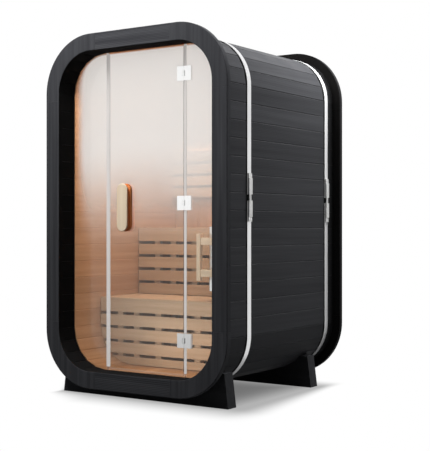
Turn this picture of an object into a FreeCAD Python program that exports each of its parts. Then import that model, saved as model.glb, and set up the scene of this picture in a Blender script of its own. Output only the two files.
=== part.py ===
"""Outdoor cube sauna: boarded shell between two trim rings, glass front, tiered benches and heater.

Millimetres, +Z up. The front faces -Y and +X is to the right. The origin is the centre of the
bounding box at floor level.
"""
import FreeCAD, Part
import math
import os

Vector = FreeCAD.Vector

# ---------------------------------------------------------------- overall size
overall_width = 1350.0
overall_depth = 1390.0
overall_height = 2200.0

# ---------------------------------------------------------------- trim rings
ring_floor_gap = 48.0
ring_face_width = 104.0
ring_thickness = 35.0
ring_corner_radius = 350.0
ring_overhang = 56.0
ring_corner_leg = 395.0
ring_joint_gap = 0.6
ring_edge_round = 4.0

# ---------------------------------------------------------------- boarded shell
stave_thickness = 44.0
side_stave_count = 14
roof_stave_count = 6
corner_stave_count = 5
board_arris = 2.5
tongue_depth = 8.0
tongue_thickness = 9.0
tongue_clearance = 0.2

# ---------------------------------------------------------------- cradles
cradle_thickness = 85.0
cradle_height = 199.0
cradle_foot_inset = 58.0
cradle_top_inset = 84.0
front_cradle_setback = 99.0
rear_cradle_setback = 241.0
cradle_screw_radius = 4.0
cradle_screw_head_radius = 8.0
cradle_screw_head_height = 5.0
cradle_screw_bite = 30.0
cradle_screw_socket_depth = 3.0
cradle_counterbore_depth = 60.0
cradle_screw_spacing = 180.0
cradle_screw_pairs = 2
screw_clearance = 0.2

# ---------------------------------------------------------------- steel bands and tensioners
band_width = 40.0
band_thickness = 2.0
band_seat_clearance = 0.3
front_band_setback = 316.0
rear_band_setback = 126.0
tensioner_height = 1200.0
tension_nut_length = 34.0
tension_nut_across_flats = 13.0
tension_nut_end_gap = 0.5
tension_block_length = 95.0
tension_block_width = 36.0
tension_block_thickness = 12.0
tension_block_groove = 6.0
tension_groove_offset = 10.0
strap_clamp_length = 28.0
strap_clamp_thickness = 8.0
tension_stud_radius = 4.0
tension_stud_insert = 60.0
tension_stud_gap = 6.0
tension_stud_end_gap = 1.0
running_clearance = 0.05
rivet_radius = 3.0
rivet_head_radius = 5.4
rivet_head_height = 2.0

# ---------------------------------------------------------------- glass front
glass_thickness = 8.0
glass_setback = 150.0
glass_groove_depth = 8.0
groove_clearance = 0.3
strike_seam_x = -299.5
hinge_axis_x = 279.0
pane_to_strike_seam = 4.0
door_to_hinge_axis = 7.0
pane_to_hinge_axis = 3.0
door_swing_clearance = 4.0
seal_wall = 1.5
seal_leg = 8.0
strike_seal_web = 3.0
hinge_seal_web = 2.0
hinge_seal_bulb_reach = 6.0
hinge_seal_bulb_thickness = 3.0
sweep_seal_web = 2.5
sweep_seal_leg = 10.0

# ---------------------------------------------------------------- glass-to-glass hinges
hinge_from_door_bottom = 206.0
hinge_from_door_top = 164.0
middle_hinge_rise = 24.0
hinge_plate_height = 85.0
hinge_plate_reach = 50.0
hinge_plate_thickness = 5.0
hinge_plate_to_axis = 0.5
hinge_gasket_thickness = 1.0
hinge_recess_width = 30.0
hinge_recess_height = 38.0
hinge_recess_depth = 2.0
hinge_barrel_radius = 5.5
hinge_barrel_height = 31.0
hinge_barrel_clearance = 0.5
hinge_knuckle_height = 15.0
hinge_knuckle_gap = 0.3
hinge_neck_lap = 2.0
hinge_pin_radius = 2.5
hinge_core_to_axis = 12.5
hinge_core_reach = 40.0
hinge_core_height = 76.0
hinge_core_clearance = 1.0
hinge_screw_radius = 4.0
hinge_screw_head_radius = 6.0
hinge_screw_head_depth = 3.0
hinge_screw_cover = 2.0
hinge_socket_radius = 2.5
hinge_socket_depth = 2.0

# ---------------------------------------------------------------- door handles
handle_x = -156.0
handle_z = 1146.0
handle_width = 80.0
handle_height = 290.0
outer_handle_thickness = 46.0
inner_handle_thickness = 30.0
handle_edge_round = 4.0
finger_groove_start = 14.0
finger_groove_width = 20.0
finger_groove_depth = 10.0
handle_bolt_radius = 5.0
handle_bolt_head_radius = 9.0
handle_bolt_head_height = 6.0
handle_bolt_spacing = 190.0
handle_bolt_bite = 30.0
handle_bolt_socket_depth = 4.0
handle_hole_clearance = 1.0
handle_counterbore_clearance = 0.5
handle_counterbore_depth = 8.0

# ---------------------------------------------------------------- rear wall and vent
rear_wall_setback = 150.0
rear_wall_thickness = 34.0
rear_wall_groove_depth = 10.0
rear_wall_board_count = 11
vent_z = 330.0
vent_slot_width = 80.0
vent_slot_height = 40.0
vent_grille_margin = 14.0
vent_grille_thickness = 8.0
vent_bar_count = 3
vent_bar_height = 4.0
vent_shutter_width = 110.0
vent_shutter_height = 56.0
vent_shutter_thickness = 8.0
vent_shutter_travel = 105.0
vent_runner_depth = 10.0
vent_runner_lip = 6.0
vent_runner_lip_thickness = 4.0
vent_runner_wall = 8.0
vent_running_gap = 0.4
vent_knob_radius = 9.0
vent_knob_length = 14.0

# ---------------------------------------------------------------- benches
bench_side_gap = 4.0
floor_gap = 1.0
lower_seat_height = 575.0
upper_seat_height = 1022.0
lower_bench_setback = 405.0
upper_bench_setback = 800.0
bench_joint_gap = 2.0
seat_thickness = 21.0
seat_slat_count = 4
seat_slat_gap = 14.0
seat_edge_round = 4.0
skirt_board_count = 5
skirt_board_height = 70.0
skirt_board_gap = 18.5
skirt_board_thickness = 20.0
bench_support_xs = (-425.0, -292.0, -119.0, 180.0)
bench_support_width = 45.0
bench_support_thickness = 30.0
bench_bearer_height = 45.0
bench_ledger_height = 45.0
bench_ledger_thickness = 30.0

# ---------------------------------------------------------------- backrest and light strip
backrest_bottom = 1235.0
backrest_board_count = 4
backrest_board_height = 66.0
backrest_board_gap = 17.0
backrest_board_thickness = 22.0
backrest_support_xs = (-400.0, 0.0, 400.0)
backrest_support_width = 40.0
backrest_support_depth = 26.0
light_end_gap = 35.0
light_channel_width = 18.0
light_channel_height = 12.0
light_channel_wall = 1.5
light_diffuser_clearance = 0.1

# ---------------------------------------------------------------- heater
heater_setback = 480.0
heater_width = 270.0
heater_reach = 334.0
heater_bottom = 635.0
heater_height = 394.0
heater_wall_gap = 14.0
heater_sheet = 3.0
heater_control_height = 100.0
heater_edge_round = 8.0
heater_slot_count = 5
heater_slot_length = 190.0
heater_slot_height = 8.0
heater_slot_pitch = 24.0
heater_first_slot_rise = 130.0
heater_bracket_width = 150.0
heater_bracket_height = 240.0
heater_element_count = 3
heater_element_radius = 5.0
heater_element_spread = 70.0
heater_element_pitch = 70.0
heater_element_foot = 25.0
heater_element_clearance = 16.0
grate_depth = 104.0
grate_bar_radius = 4.0
stone_height = 50.0
stone_gap = 5.0
stone_length_step = 4.0
stone_width_step = 5.0
stone_height_step = 4.0
stone_chamfer = 10.0
stone_rows = 4
stone_columns = 5
stone_side_gap = 6.0
knob_radius = 18.0
knob_length = 18.0
knob_pointer_width = 4.0
knob_shaft_radius = 3.0
knob_shaft_length = 12.0
knob_standoff = 0.5
knob_spacing = 90.0
gland_radius = 9.0
gland_bore_radius = 4.5
gland_length = 18.0
gland_inset = 18.0

# ---------------------------------------------------------------- heater guard
guard_post_size = 28.0
guard_post_bottom = 699.0
guard_post_height = 288.0
guard_side_gap = 23.0
guard_front_gap = 33.0
guard_rail_height = 44.0
guard_rail_thickness = 20.0
guard_rail_bottoms = (724.0, 918.0)

# ---------------------------------------------------------------- modelling tolerances
cut_overshoot = 2.0
match_tolerance = 1e-3

# ---------------------------------------------------------------- derived reference values
front_y = -overall_depth / 2.0
rear_y = overall_depth / 2.0
shell_front_y = front_y + ring_thickness
shell_rear_y = rear_y - ring_thickness
corner_centre_x = overall_width / 2.0 - ring_corner_radius
lower_centre_z = ring_floor_gap + ring_corner_radius
upper_centre_z = overall_height - ring_corner_radius
outer_inset = ring_overhang
inner_inset = ring_overhang + stave_thickness
wall_x = overall_width / 2.0 - inner_inset
shell_outer_x = overall_width / 2.0 - outer_inset
floor_z = ring_floor_gap + inner_inset
shell_bottom_z = ring_floor_gap + outer_inset
ceiling_z = overall_height - inner_inset
glass_front_y = front_y + glass_setback
glass_back_y = glass_front_y + glass_thickness
glass_mid_y = glass_front_y + glass_thickness / 2.0
hinge_axis_y = glass_front_y - hinge_gasket_thickness - hinge_plate_thickness
rear_wall_front_y = rear_y - rear_wall_setback
rear_wall_back_y = rear_wall_front_y + rear_wall_thickness
lower_bench_y = front_y + lower_bench_setback
upper_bench_y = front_y + upper_bench_setback
door_bottom_z = max(floor_z, ring_floor_gap + ring_face_width) + door_swing_clearance
door_top_z = min(ceiling_z, overall_height - ring_face_width) - door_swing_clearance
lower_hinge_z = door_bottom_z + hinge_from_door_bottom
upper_hinge_z = door_top_z - hinge_from_door_top
middle_hinge_z = (lower_hinge_z + upper_hinge_z) / 2.0 + middle_hinge_rise
hinge_heights = (lower_hinge_z, middle_hinge_z, upper_hinge_z)
heater_right_x = wall_x - heater_wall_gap
heater_left_x = heater_right_x - heater_reach
heater_front_y = front_y + heater_setback
heater_rear_y = heater_front_y + heater_width
heater_middle_y = heater_front_y + heater_width / 2.0
heater_top = heater_bottom + heater_height
heater_deck_z = heater_bottom + heater_control_height
grate_z = heater_top - grate_depth
knob_z = heater_bottom + heater_control_height / 2.0
guard_inner_face_x = heater_left_x - guard_side_gap
guard_front_y = heater_front_y - guard_front_gap - guard_post_size


# ---------------------------------------------------------------- shape helpers
def box(x0, x1, y0, y1, z0, z1):
    """Box between two corners."""
    return Part.makeBox(x1 - x0, y1 - y0, z1 - z0, Vector(x0, y0, z0))


def rod(radius, start, end):
    """Cylinder from one point to another."""
    axis = end.sub(start)
    return Part.makeCylinder(radius, axis.Length, start, axis)


def extrude_polygon(points, direction):
    """Solid from a closed polygon of 3-D points."""
    return Part.Face(Part.makePolygon(points + [points[0]])).extrude(direction)


def prism_along_y(outline, y0, y1):
    """Solid from (x, z) points, between two Y planes."""
    points = [Vector(x, y0, z) for x, z in outline]
    return extrude_polygon(points, Vector(0, y1 - y0, 0))


def prism_along_z(outline, z0, z1):
    """Solid from (x, y) points, between two Z planes."""
    points = [Vector(x, y, z0) for x, y in outline]
    return extrude_polygon(points, Vector(0, 0, z1 - z0))


def stadium_along_y(x, z, width, height, y0, y1):
    """Upright slab with half-round ends, between two Y planes."""
    radius = width / 2.0
    straight = height / 2.0 - radius
    middle = box(x - radius, x + radius, y0, y1, z - straight, z + straight)
    ends = [rod(radius, Vector(x, y0, end_z), Vector(x, y1, end_z)) for end_z in (z - straight, z + straight)]
    return middle.fuse(ends).removeSplitter()


def round_edges(solid, radius, chosen):
    """Fillet the edges for which chosen(edge) is true."""
    edges = [edge for edge in solid.Edges if chosen(edge)]
    return solid.makeFillet(radius, edges)


def lies_in_plane(edge, axis, value):
    """True when a whole edge lies in the plane where one coordinate has the given value."""
    low = getattr(edge.BoundBox, axis + "Min")
    high = getattr(edge.BoundBox, axis + "Max")
    return abs(low - value) < match_tolerance and abs(high - value) < match_tolerance


def runs_along(edge, axis):
    """True for a straight edge parallel to X, Y or Z."""
    lengths = {"X": edge.BoundBox.XLength, "Y": edge.BoundBox.YLength, "Z": edge.BoundBox.ZLength}
    return lengths.pop(axis) > match_tolerance and max(lengths.values()) < match_tolerance


def save(name, solids):
    """Write one node as a STEP file and report its size."""
    shape = solids[0] if len(solids) == 1 else Part.makeCompound(solids)
    shape.exportStep(os.path.join("parts", name + ".step"))
    print("%-26s %3d solids %12.0f mm3" % (name, len(shape.Solids), shape.Volume))


# ---------------------------------------------------------------- shell outline
def shell_stations():
    """Joint lines between staves, anticlockwise seen from the front.

    Each station is (zone, base_x, base_z, normal_x, normal_z). A point of the outline that lies
    inset from the ring's edge is base + normal * (ring_corner_radius - inset). The zone names
    the group that the next stave belongs to.
    """
    x = corner_centre_x
    low = lower_centre_z
    high = upper_centre_z
    stations = straight_stations("right", (x, low), (x, high), (1, 0), side_stave_count)
    stations += corner_stations("upper", x, high, 0)
    stations += straight_stations("roof", (x, high), (-x, high), (0, 1), roof_stave_count)
    stations += corner_stations("upper", -x, high, 90)
    stations += straight_stations("left", (-x, high), (-x, low), (-1, 0), side_stave_count)
    stations += corner_stations("lower", -x, low, 180)
    stations += straight_stations("floor", (-x, low), (x, low), (0, -1), roof_stave_count)
    stations += corner_stations("lower", x, low, 270)
    return stations


def straight_stations(zone, start, end, normal, count):
    """Stations of one straight side, spaced evenly from its start."""
    stations = []
    for index in range(count):
        x = start[0] + (end[0] - start[0]) * index / count
        z = start[1] + (end[1] - start[1]) * index / count
        stations.append((zone, x, z, normal[0], normal[1]))
    return stations


def corner_stations(zone, x, z, start_angle):
    """Stations of one quarter turn about a corner centre."""
    angles = [math.radians(start_angle + 90.0 * i / corner_stave_count) for i in range(corner_stave_count)]
    return [(zone, x, z, math.cos(angle), math.sin(angle)) for angle in angles]


STATIONS = shell_stations()


def station_point(station, inset):
    """Point of the faceted outline at one station, moved in from the ring's edge by inset."""
    _, x, z, nx, nz = station
    reach = ring_corner_radius - inset
    return (x + nx * reach, z + nz * reach)


def faceted_outline(inset):
    """Closed faceted outline as (x, z) points."""
    return [station_point(station, inset) for station in STATIONS]


def shell_core(inset, y0, y1):
    """Solid filling the faceted outline between two Y planes."""
    return prism_along_y(faceted_outline(inset), y0, y1)


def rounded_core(inset, y0, y1):
    """Solid filling the smooth rounded outline between two Y planes."""
    half = overall_width / 2.0 - inset
    core = box(-half, half, y0, y1, ring_floor_gap + inset, overall_height - inset)
    return round_edges(core, ring_corner_radius - inset, lambda edge: runs_along(edge, "Y"))


def interior(clearance):
    """Room inside the shell, kept clear of the boards by a clearance."""
    return shell_core(inner_inset + clearance, shell_front_y, shell_rear_y)


# ---------------------------------------------------------------- tongued boards
def shifted(point, direction, distance):
    """Point moved along a 2-D direction."""
    return (point[0] + direction[0] * distance, point[1] + direction[1] * distance)


def unit(start, end):
    """2-D unit vector from start to end."""
    length = math.hypot(end[0] - start[0], end[1] - start[1])
    return ((end[0] - start[0]) / length, (end[1] - start[1]) / length)


def middle(a, b):
    """Midpoint of two 2-D points."""
    return ((a[0] + b[0]) / 2.0, (a[1] + b[1]) / 2.0)


def tongued_outline(outer_a, outer_b, inner_a, inner_b):
    """Section of a board with a groove on side a, a tongue on side b and broken corners."""
    normal_a = unit(inner_a, outer_a)
    normal_b = unit(inner_b, outer_b)
    travel_a = (-normal_a[1], normal_a[0])
    travel_b = (-normal_b[1], normal_b[0])
    along_outer = unit(outer_a, outer_b)
    along_inner = unit(inner_a, inner_b)
    groove_half = tongue_thickness / 2.0 + tongue_clearance
    groove_depth = tongue_depth + tongue_clearance
    groove_in = shifted(middle(inner_a, outer_a), normal_a, -groove_half)
    groove_out = shifted(middle(inner_a, outer_a), normal_a, groove_half)
    tongue_in = shifted(middle(inner_b, outer_b), normal_b, -tongue_thickness / 2.0)
    tongue_out = shifted(middle(inner_b, outer_b), normal_b, tongue_thickness / 2.0)
    return [
        shifted(inner_a, along_inner, board_arris),
        shifted(inner_a, normal_a, board_arris),
        groove_in,
        shifted(groove_in, travel_a, groove_depth),
        shifted(groove_out, travel_a, groove_depth),
        groove_out,
        shifted(outer_a, normal_a, -board_arris),
        shifted(outer_a, along_outer, board_arris),
        shifted(outer_b, along_outer, -board_arris),
        shifted(outer_b, normal_b, -board_arris),
        tongue_out,
        shifted(tongue_out, travel_b, tongue_depth),
        shifted(tongue_in, travel_b, tongue_depth),
        tongue_in,
        shifted(inner_b, normal_b, board_arris),
        shifted(inner_b, along_inner, -board_arris),
    ]


# ---------------------------------------------------------------- shell
def outline_groove(depth, y0, y1):
    """Groove cut into the inner faces of the staves all the way round."""
    bottom = shell_core(inner_inset - depth, y0 - groove_clearance, y1 + groove_clearance)
    mouth = shell_core(inner_inset + board_arris, y0 - cut_overshoot, y1 + cut_overshoot)
    return bottom.cut(mouth)


def side_of(x, side):
    """Large half space as a box, on one side (-1 or 1) of an X plane."""
    far = side * overall_width
    return box(min(x, far), max(x, far), front_y, rear_y, 0.0, overall_height)


def stave_cutters():
    """Grooves that hold the fixed panes and the rear wall, and the cradle screw holes."""
    glass_groove = outline_groove(glass_groove_depth, glass_front_y, glass_back_y)
    left_end = strike_seam_x - pane_to_strike_seam + groove_clearance
    right_end = hinge_axis_x + pane_to_hinge_axis - groove_clearance
    cutters = [glass_groove.common(side_of(left_end, -1)), glass_groove.common(side_of(right_end, 1))]
    cutters.append(outline_groove(rear_wall_groove_depth, rear_wall_front_y, rear_wall_back_y))
    for x, y in cradle_screw_points():
        top = shell_bottom_z + cradle_screw_bite + screw_clearance
        cutters.append(rod(cradle_screw_radius + screw_clearance, Vector(x, y, 0), Vector(x, y, top)))
    return cutters


def build_shell():
    """Staves round the whole shell, grouped by the side that they stand on."""
    groups = {}
    cutters = Part.makeCompound(stave_cutters())
    for index, station in enumerate(STATIONS):
        following = STATIONS[(index + 1) % len(STATIONS)]
        section = tongued_outline(
            station_point(station, outer_inset),
            station_point(following, outer_inset),
            station_point(station, inner_inset),
            station_point(following, inner_inset),
        )
        stave = prism_along_y(section, shell_front_y, shell_rear_y).cut(cutters)
        groups.setdefault(station[0], []).append(stave)
    save("right_wall_staves", groups["right"])
    save("left_wall_staves", groups["left"])
    save("roof_staves", groups["roof"])
    save("floor_staves", groups["floor"])
    save("upper_corner_staves", groups["upper"])
    save("lower_corner_staves", groups["lower"])


# ---------------------------------------------------------------- trim rings
def trim_ring(y0, y1, show_y):
    """Whole trim ring with its two visible edge loops rounded."""
    opening = rounded_core(ring_face_width, y0 - cut_overshoot, y1 + cut_overshoot)
    ring = rounded_core(0.0, y0, y1).cut(opening)
    return round_edges(ring, ring_edge_round, lambda edge: lies_in_plane(edge, "Y", show_y))


def build_ring(name, y0, y1, show_y):
    """One trim ring, sawn into four straight boards and four corner pieces."""
    ring = trim_ring(y0, y1, show_y)
    half = overall_width / 2.0
    joint_x = half - ring_corner_leg
    lower_joint = ring_floor_gap + ring_corner_leg
    upper_joint = overall_height - ring_corner_leg
    gap = ring_joint_gap
    boards = []
    for z0, z1 in ((ring_floor_gap, lower_joint), (upper_joint, overall_height)):
        boards.append(ring.common(box(-joint_x + gap, joint_x - gap, y0, y1, z0, z1)))
    for x0, x1 in ((-half, 0.0), (0.0, half)):
        boards.append(ring.common(box(x0, x1, y0, y1, lower_joint + gap, upper_joint - gap)))
    corners = []
    for x0, x1 in ((-half, -joint_x), (joint_x, half)):
        for z0, z1 in ((ring_floor_gap, lower_joint), (upper_joint, overall_height)):
            corners.append(ring.common(box(x0, x1, y0, y1, z0, z1)))
    save(name + "_ring_boards", boards)
    save(name + "_ring_corners", corners)


# ---------------------------------------------------------------- cradles
def cradle_front_faces():
    """Front Y plane of the front and the rear cradle."""
    return (front_y + front_cradle_setback, rear_y - rear_cradle_setback - cradle_thickness)


def cradle_screw_points():
    """(x, y) of every screw that holds a cradle to the floor staves."""
    points = []
    for face_y in cradle_front_faces():
        for pair in range(cradle_screw_pairs):
            reach = cradle_screw_spacing * (pair + 0.5)
            points += [(side * reach, face_y + cradle_thickness / 2.0) for side in (-1, 1)]
    return points


def cradle(face_y):
    """Beam across the shell, hollowed on top to the shell's outline."""
    foot = overall_width / 2.0 - cradle_foot_inset
    top = overall_width / 2.0 - cradle_top_inset
    outline = [(-foot, 0.0), (foot, 0.0), (top, cradle_height), (-top, cradle_height)]
    beam = prism_along_y(outline, face_y, face_y + cradle_thickness)
    beam = beam.cut(shell_core(outer_inset, shell_front_y, shell_rear_y))
    for x, y in cradle_screw_points():
        hole_top = Vector(x, y, cradle_height)
        beam = beam.cut(rod(cradle_screw_radius + screw_clearance, Vector(x, y, 0), hole_top))
        counterbore_end = Vector(x, y, cradle_counterbore_depth)
        beam = beam.cut(rod(cradle_screw_head_radius + screw_clearance, Vector(x, y, 0), counterbore_end))
    return beam


def cradle_screw(x, y):
    """Screw up through a cradle into a floor stave."""
    head_bottom = cradle_counterbore_depth - cradle_screw_head_height
    head = rod(cradle_screw_head_radius, Vector(x, y, head_bottom), Vector(x, y, cradle_counterbore_depth))
    tip = Vector(x, y, shell_bottom_z + cradle_screw_bite)
    shank = rod(cradle_screw_radius, Vector(x, y, cradle_counterbore_depth), tip)
    socket_top = Vector(x, y, head_bottom + cradle_screw_socket_depth)
    socket = rod(cradle_screw_radius / 2.0, Vector(x, y, head_bottom), socket_top)
    return head.fuse(shank).cut(socket)


def build_cradles():
    """Two cradles and their screws."""
    front_face, rear_face = cradle_front_faces()
    save("front_cradle", [cradle(front_face)])
    save("rear_cradle", [cradle(rear_face)])
    save("cradle_screws", [cradle_screw(x, y) for x, y in cradle_screw_points()])


# ---------------------------------------------------------------- bands and tensioners
def band_inner_x():
    """Inner face of a band on the right wall."""
    return shell_outer_x + band_seat_clearance


def tension_axis_x():
    """X of the line that the tensioner studs and nut turn about."""
    return band_inner_x() + band_thickness + tension_block_thickness / 2.0


def half_gap():
    """Half the distance between the two tension blocks of one band."""
    return tension_nut_length / 2.0 + tension_nut_end_gap


def clamp_end_reach():
    """Distance from the tensioner's middle to the far end of a strap clamp."""
    return half_gap() + tension_block_length + strap_clamp_length


def band(middle_y):
    """Strap round the shell, open behind the tensioner."""
    y0 = middle_y - band_width / 2.0
    y1 = middle_y + band_width / 2.0
    inset = outer_inset - band_seat_clearance
    hollow = rounded_core(inset, y0 - cut_overshoot, y1 + cut_overshoot)
    strap = rounded_core(inset - band_thickness, y0, y1).cut(hollow)
    open_x = band_inner_x() - cut_overshoot
    low = tensioner_height - half_gap()
    high = tensioner_height + half_gap()
    opening_y0 = y0 - cut_overshoot
    opening_y1 = y1 + cut_overshoot
    strap = strap.cut(box(open_x, overall_width, opening_y0, opening_y1, low, high))
    for side in (-1, 1):
        for y in rivet_ys(middle_y):
            z = tensioner_height + side * rivet_reach()
            hole_end = Vector(overall_width / 2.0, y, z)
            hole = rod(rivet_radius + screw_clearance, Vector(open_x, y, z), hole_end)
            strap = strap.cut(hole)
    return strap


def rivet_ys(middle_y):
    """Y of the two rivets through a strap clamp."""
    return (middle_y - band_width / 4.0, middle_y + band_width / 4.0)


def rivet_reach():
    """Distance from the tensioner's middle to a rivet."""
    return half_gap() + tension_block_length + strap_clamp_length / 2.0


def tension_block(middle_y, side):
    """Clamp and twice grooved block on one strap end; side is 1 above the nut and -1 below it."""
    x0 = band_inner_x() + band_thickness
    half_width = tension_block_width / 2.0
    near = tensioner_height + side * half_gap()
    joint = near + side * tension_block_length
    far = tensioner_height + side * clamp_end_reach()
    y0 = middle_y - half_width
    y1 = middle_y + half_width
    block = box(x0, x0 + tension_block_thickness, y0, y1, min(near, joint), max(near, joint))
    clamp = box(x0, x0 + strap_clamp_thickness, y0, y1, min(joint, far), max(joint, far))
    solid = block.fuse(clamp).removeSplitter()
    groove_half = tension_block_groove / 2.0
    face_x = x0 + tension_block_thickness
    for groove_y in (middle_y - tension_groove_offset, middle_y + tension_groove_offset):
        groove = [
            (face_x, groove_y - groove_half),
            (face_x - groove_half, groove_y),
            (face_x, groove_y + groove_half),
        ]
        solid = solid.cut(prism_along_z(groove, min(near, joint), max(near, joint)))
    axis_start = Vector(tension_axis_x(), middle_y, near)
    axis_end = Vector(tension_axis_x(), middle_y, near + side * tension_stud_insert)
    solid = solid.cut(rod(tension_stud_radius + running_clearance, axis_start, axis_end))
    for y in rivet_ys(middle_y):
        z = tensioner_height + side * rivet_reach()
        start = Vector(x0 - cut_overshoot, y, z)
        end = Vector(x0 + strap_clamp_thickness + cut_overshoot, y, z)
        solid = solid.cut(rod(rivet_radius + screw_clearance, start, end))
    return solid


def tension_stud(middle_y, side):
    """Threaded stud from one block into the nut."""
    x = tension_axis_x()
    start = tensioner_height + side * tension_stud_gap / 2.0
    end = tensioner_height + side * (half_gap() + tension_stud_insert - tension_stud_end_gap)
    return rod(tension_stud_radius, Vector(x, middle_y, start), Vector(x, middle_y, end))


def clamp_rivets(middle_y):
    """Four rivets through the clamps and strap ends of one band."""
    rivets = []
    x0 = band_inner_x()
    head_x = x0 + band_thickness + strap_clamp_thickness
    for side in (-1, 1):
        for y in rivet_ys(middle_y):
            z = tensioner_height + side * rivet_reach()
            shank = rod(rivet_radius, Vector(x0, y, z), Vector(head_x, y, z))
            head = rod(rivet_head_radius, Vector(head_x, y, z), Vector(head_x + rivet_head_height, y, z))
            rivets.append(shank.fuse(head).removeSplitter())
    return rivets


def tension_nut(middle_y):
    """Hexagonal turnbuckle nut."""
    circumradius = tension_nut_across_flats / math.sqrt(3.0)
    corners = []
    for i in range(6):
        angle = math.radians(60.0 * i)
        x = tension_axis_x() + circumradius * math.sin(angle)
        corners.append((x, middle_y + circumradius * math.cos(angle)))
    z0 = tensioner_height - tension_nut_length / 2.0
    z1 = tensioner_height + tension_nut_length / 2.0
    bore_start = Vector(tension_axis_x(), middle_y, z0)
    bore_end = Vector(tension_axis_x(), middle_y, z1)
    bore = rod(tension_stud_radius + running_clearance, bore_start, bore_end)
    return prism_along_z(corners, z0, z1).cut(bore)


def build_bands():
    """Two bands with their tensioners."""
    middles = {
        "front": front_y + front_band_setback,
        "rear": rear_y - rear_band_setback,
    }
    blocks = []
    studs = []
    rivets = []
    for name, middle_y in middles.items():
        save(name + "_band", [band(middle_y)])
        save(name + "_tension_nut", [tension_nut(middle_y)])
        blocks += [tension_block(middle_y, side) for side in (-1, 1)]
        studs += [tension_stud(middle_y, side) for side in (-1, 1)]
        rivets += clamp_rivets(middle_y)
    save("tension_blocks", blocks)
    save("tension_studs", studs)
    save("band_rivets", rivets)


# ---------------------------------------------------------------- glass panes
def pane_core():
    """Glass filling the opening, its edge standing in the stave grooves."""
    return shell_core(inner_inset - glass_groove_depth + groove_clearance, glass_front_y, glass_back_y)


def hinge_notch(edge_x, side, centre_z):
    """Notch in a pane's edge that clears the core of a hinge."""
    half = hinge_core_height / 2.0 + hinge_core_clearance
    deep_x = hinge_axis_x + side * (hinge_core_reach + hinge_core_clearance)
    open_x = edge_x - side * cut_overshoot
    x0 = min(open_x, deep_x)
    x1 = max(open_x, deep_x)
    y0 = glass_front_y - cut_overshoot
    y1 = glass_back_y + cut_overshoot
    return box(x0, x1, y0, y1, centre_z - half, centre_z + half)


def handle_bolt_zs():
    """Heights of the two handle bolts."""
    return (handle_z - handle_bolt_spacing / 2.0, handle_z + handle_bolt_spacing / 2.0)


def build_panes():
    """Left pane, right pane and the door between them."""
    left_edge = strike_seam_x - pane_to_strike_seam
    right_edge = hinge_axis_x + pane_to_hinge_axis
    save("left_glass_pane", [pane_core().common(side_of(left_edge, -1))])
    right = pane_core().common(side_of(right_edge, 1))
    door_x0 = strike_seam_x + pane_to_strike_seam
    door_x1 = hinge_axis_x - door_to_hinge_axis
    door = box(door_x0, door_x1, glass_front_y, glass_back_y, door_bottom_z, door_top_z)
    for centre_z in hinge_heights:
        right = right.cut(hinge_notch(right_edge, 1, centre_z))
        door = door.cut(hinge_notch(door_x1, -1, centre_z))
    for z in handle_bolt_zs():
        start = Vector(handle_x, glass_front_y - cut_overshoot, z)
        end = Vector(handle_x, glass_back_y + cut_overshoot, z)
        door = door.cut(rod(handle_bolt_radius + handle_hole_clearance, start, end))
    save("right_glass_pane", [right])
    save("door_glass_pane", [door])


# ---------------------------------------------------------------- glass seals
def edge_seal(edge_x, into_glass, web, z0, z1):
    """U-shaped seal on an upright glass edge; into_glass is the X direction of the pane."""
    leg_end = edge_x + into_glass * seal_leg
    web_end = edge_x - into_glass * web
    x0 = min(leg_end, web_end)
    x1 = max(leg_end, web_end)
    outer = box(x0, x1, glass_front_y - seal_wall, glass_back_y + seal_wall, z0, z1)
    glass_x0 = min(edge_x, leg_end)
    glass_x1 = max(edge_x, leg_end)
    return outer.cut(box(glass_x0, glass_x1, glass_front_y, glass_back_y, z0, z1))


def hinge_side_seal(z0, z1):
    """Seal on the right pane with a thin bulb that closes the gap to the door."""
    edge_x = hinge_axis_x + pane_to_hinge_axis
    channel = edge_seal(edge_x, 1, hinge_seal_web, z0, z1)
    half = hinge_seal_bulb_thickness / 2.0
    bulb_x0 = hinge_axis_x - hinge_seal_bulb_reach
    bulb = box(bulb_x0, edge_x - hinge_seal_web, glass_mid_y - half, glass_mid_y + half, z0, z1)
    return channel.fuse(bulb).removeSplitter()


def stretches_between_hinges(z0, z1):
    """Height ranges from z0 to z1 that no hinge plate covers."""
    reach = hinge_plate_height / 2.0 + hinge_core_clearance
    starts = [z0] + [z + reach for z in hinge_heights]
    ends = [z - reach for z in hinge_heights] + [z1]
    return list(zip(starts, ends))


def hinge_gaskets(side):
    """Pads between the glass and the hinge plates on one side of the axis."""
    pads = []
    inner_x = hinge_axis_x + side * (hinge_core_reach + hinge_core_clearance)
    outer_x = hinge_axis_x + side * hinge_plate_reach
    x0 = min(inner_x, outer_x)
    x1 = max(inner_x, outer_x)
    half = hinge_plate_height / 2.0
    for centre_z in hinge_heights:
        for y0 in (glass_front_y - hinge_gasket_thickness, glass_back_y):
            y1 = y0 + hinge_gasket_thickness
            pads.append(box(x0, x1, y0, y1, centre_z - half, centre_z + half))
    return pads


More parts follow.
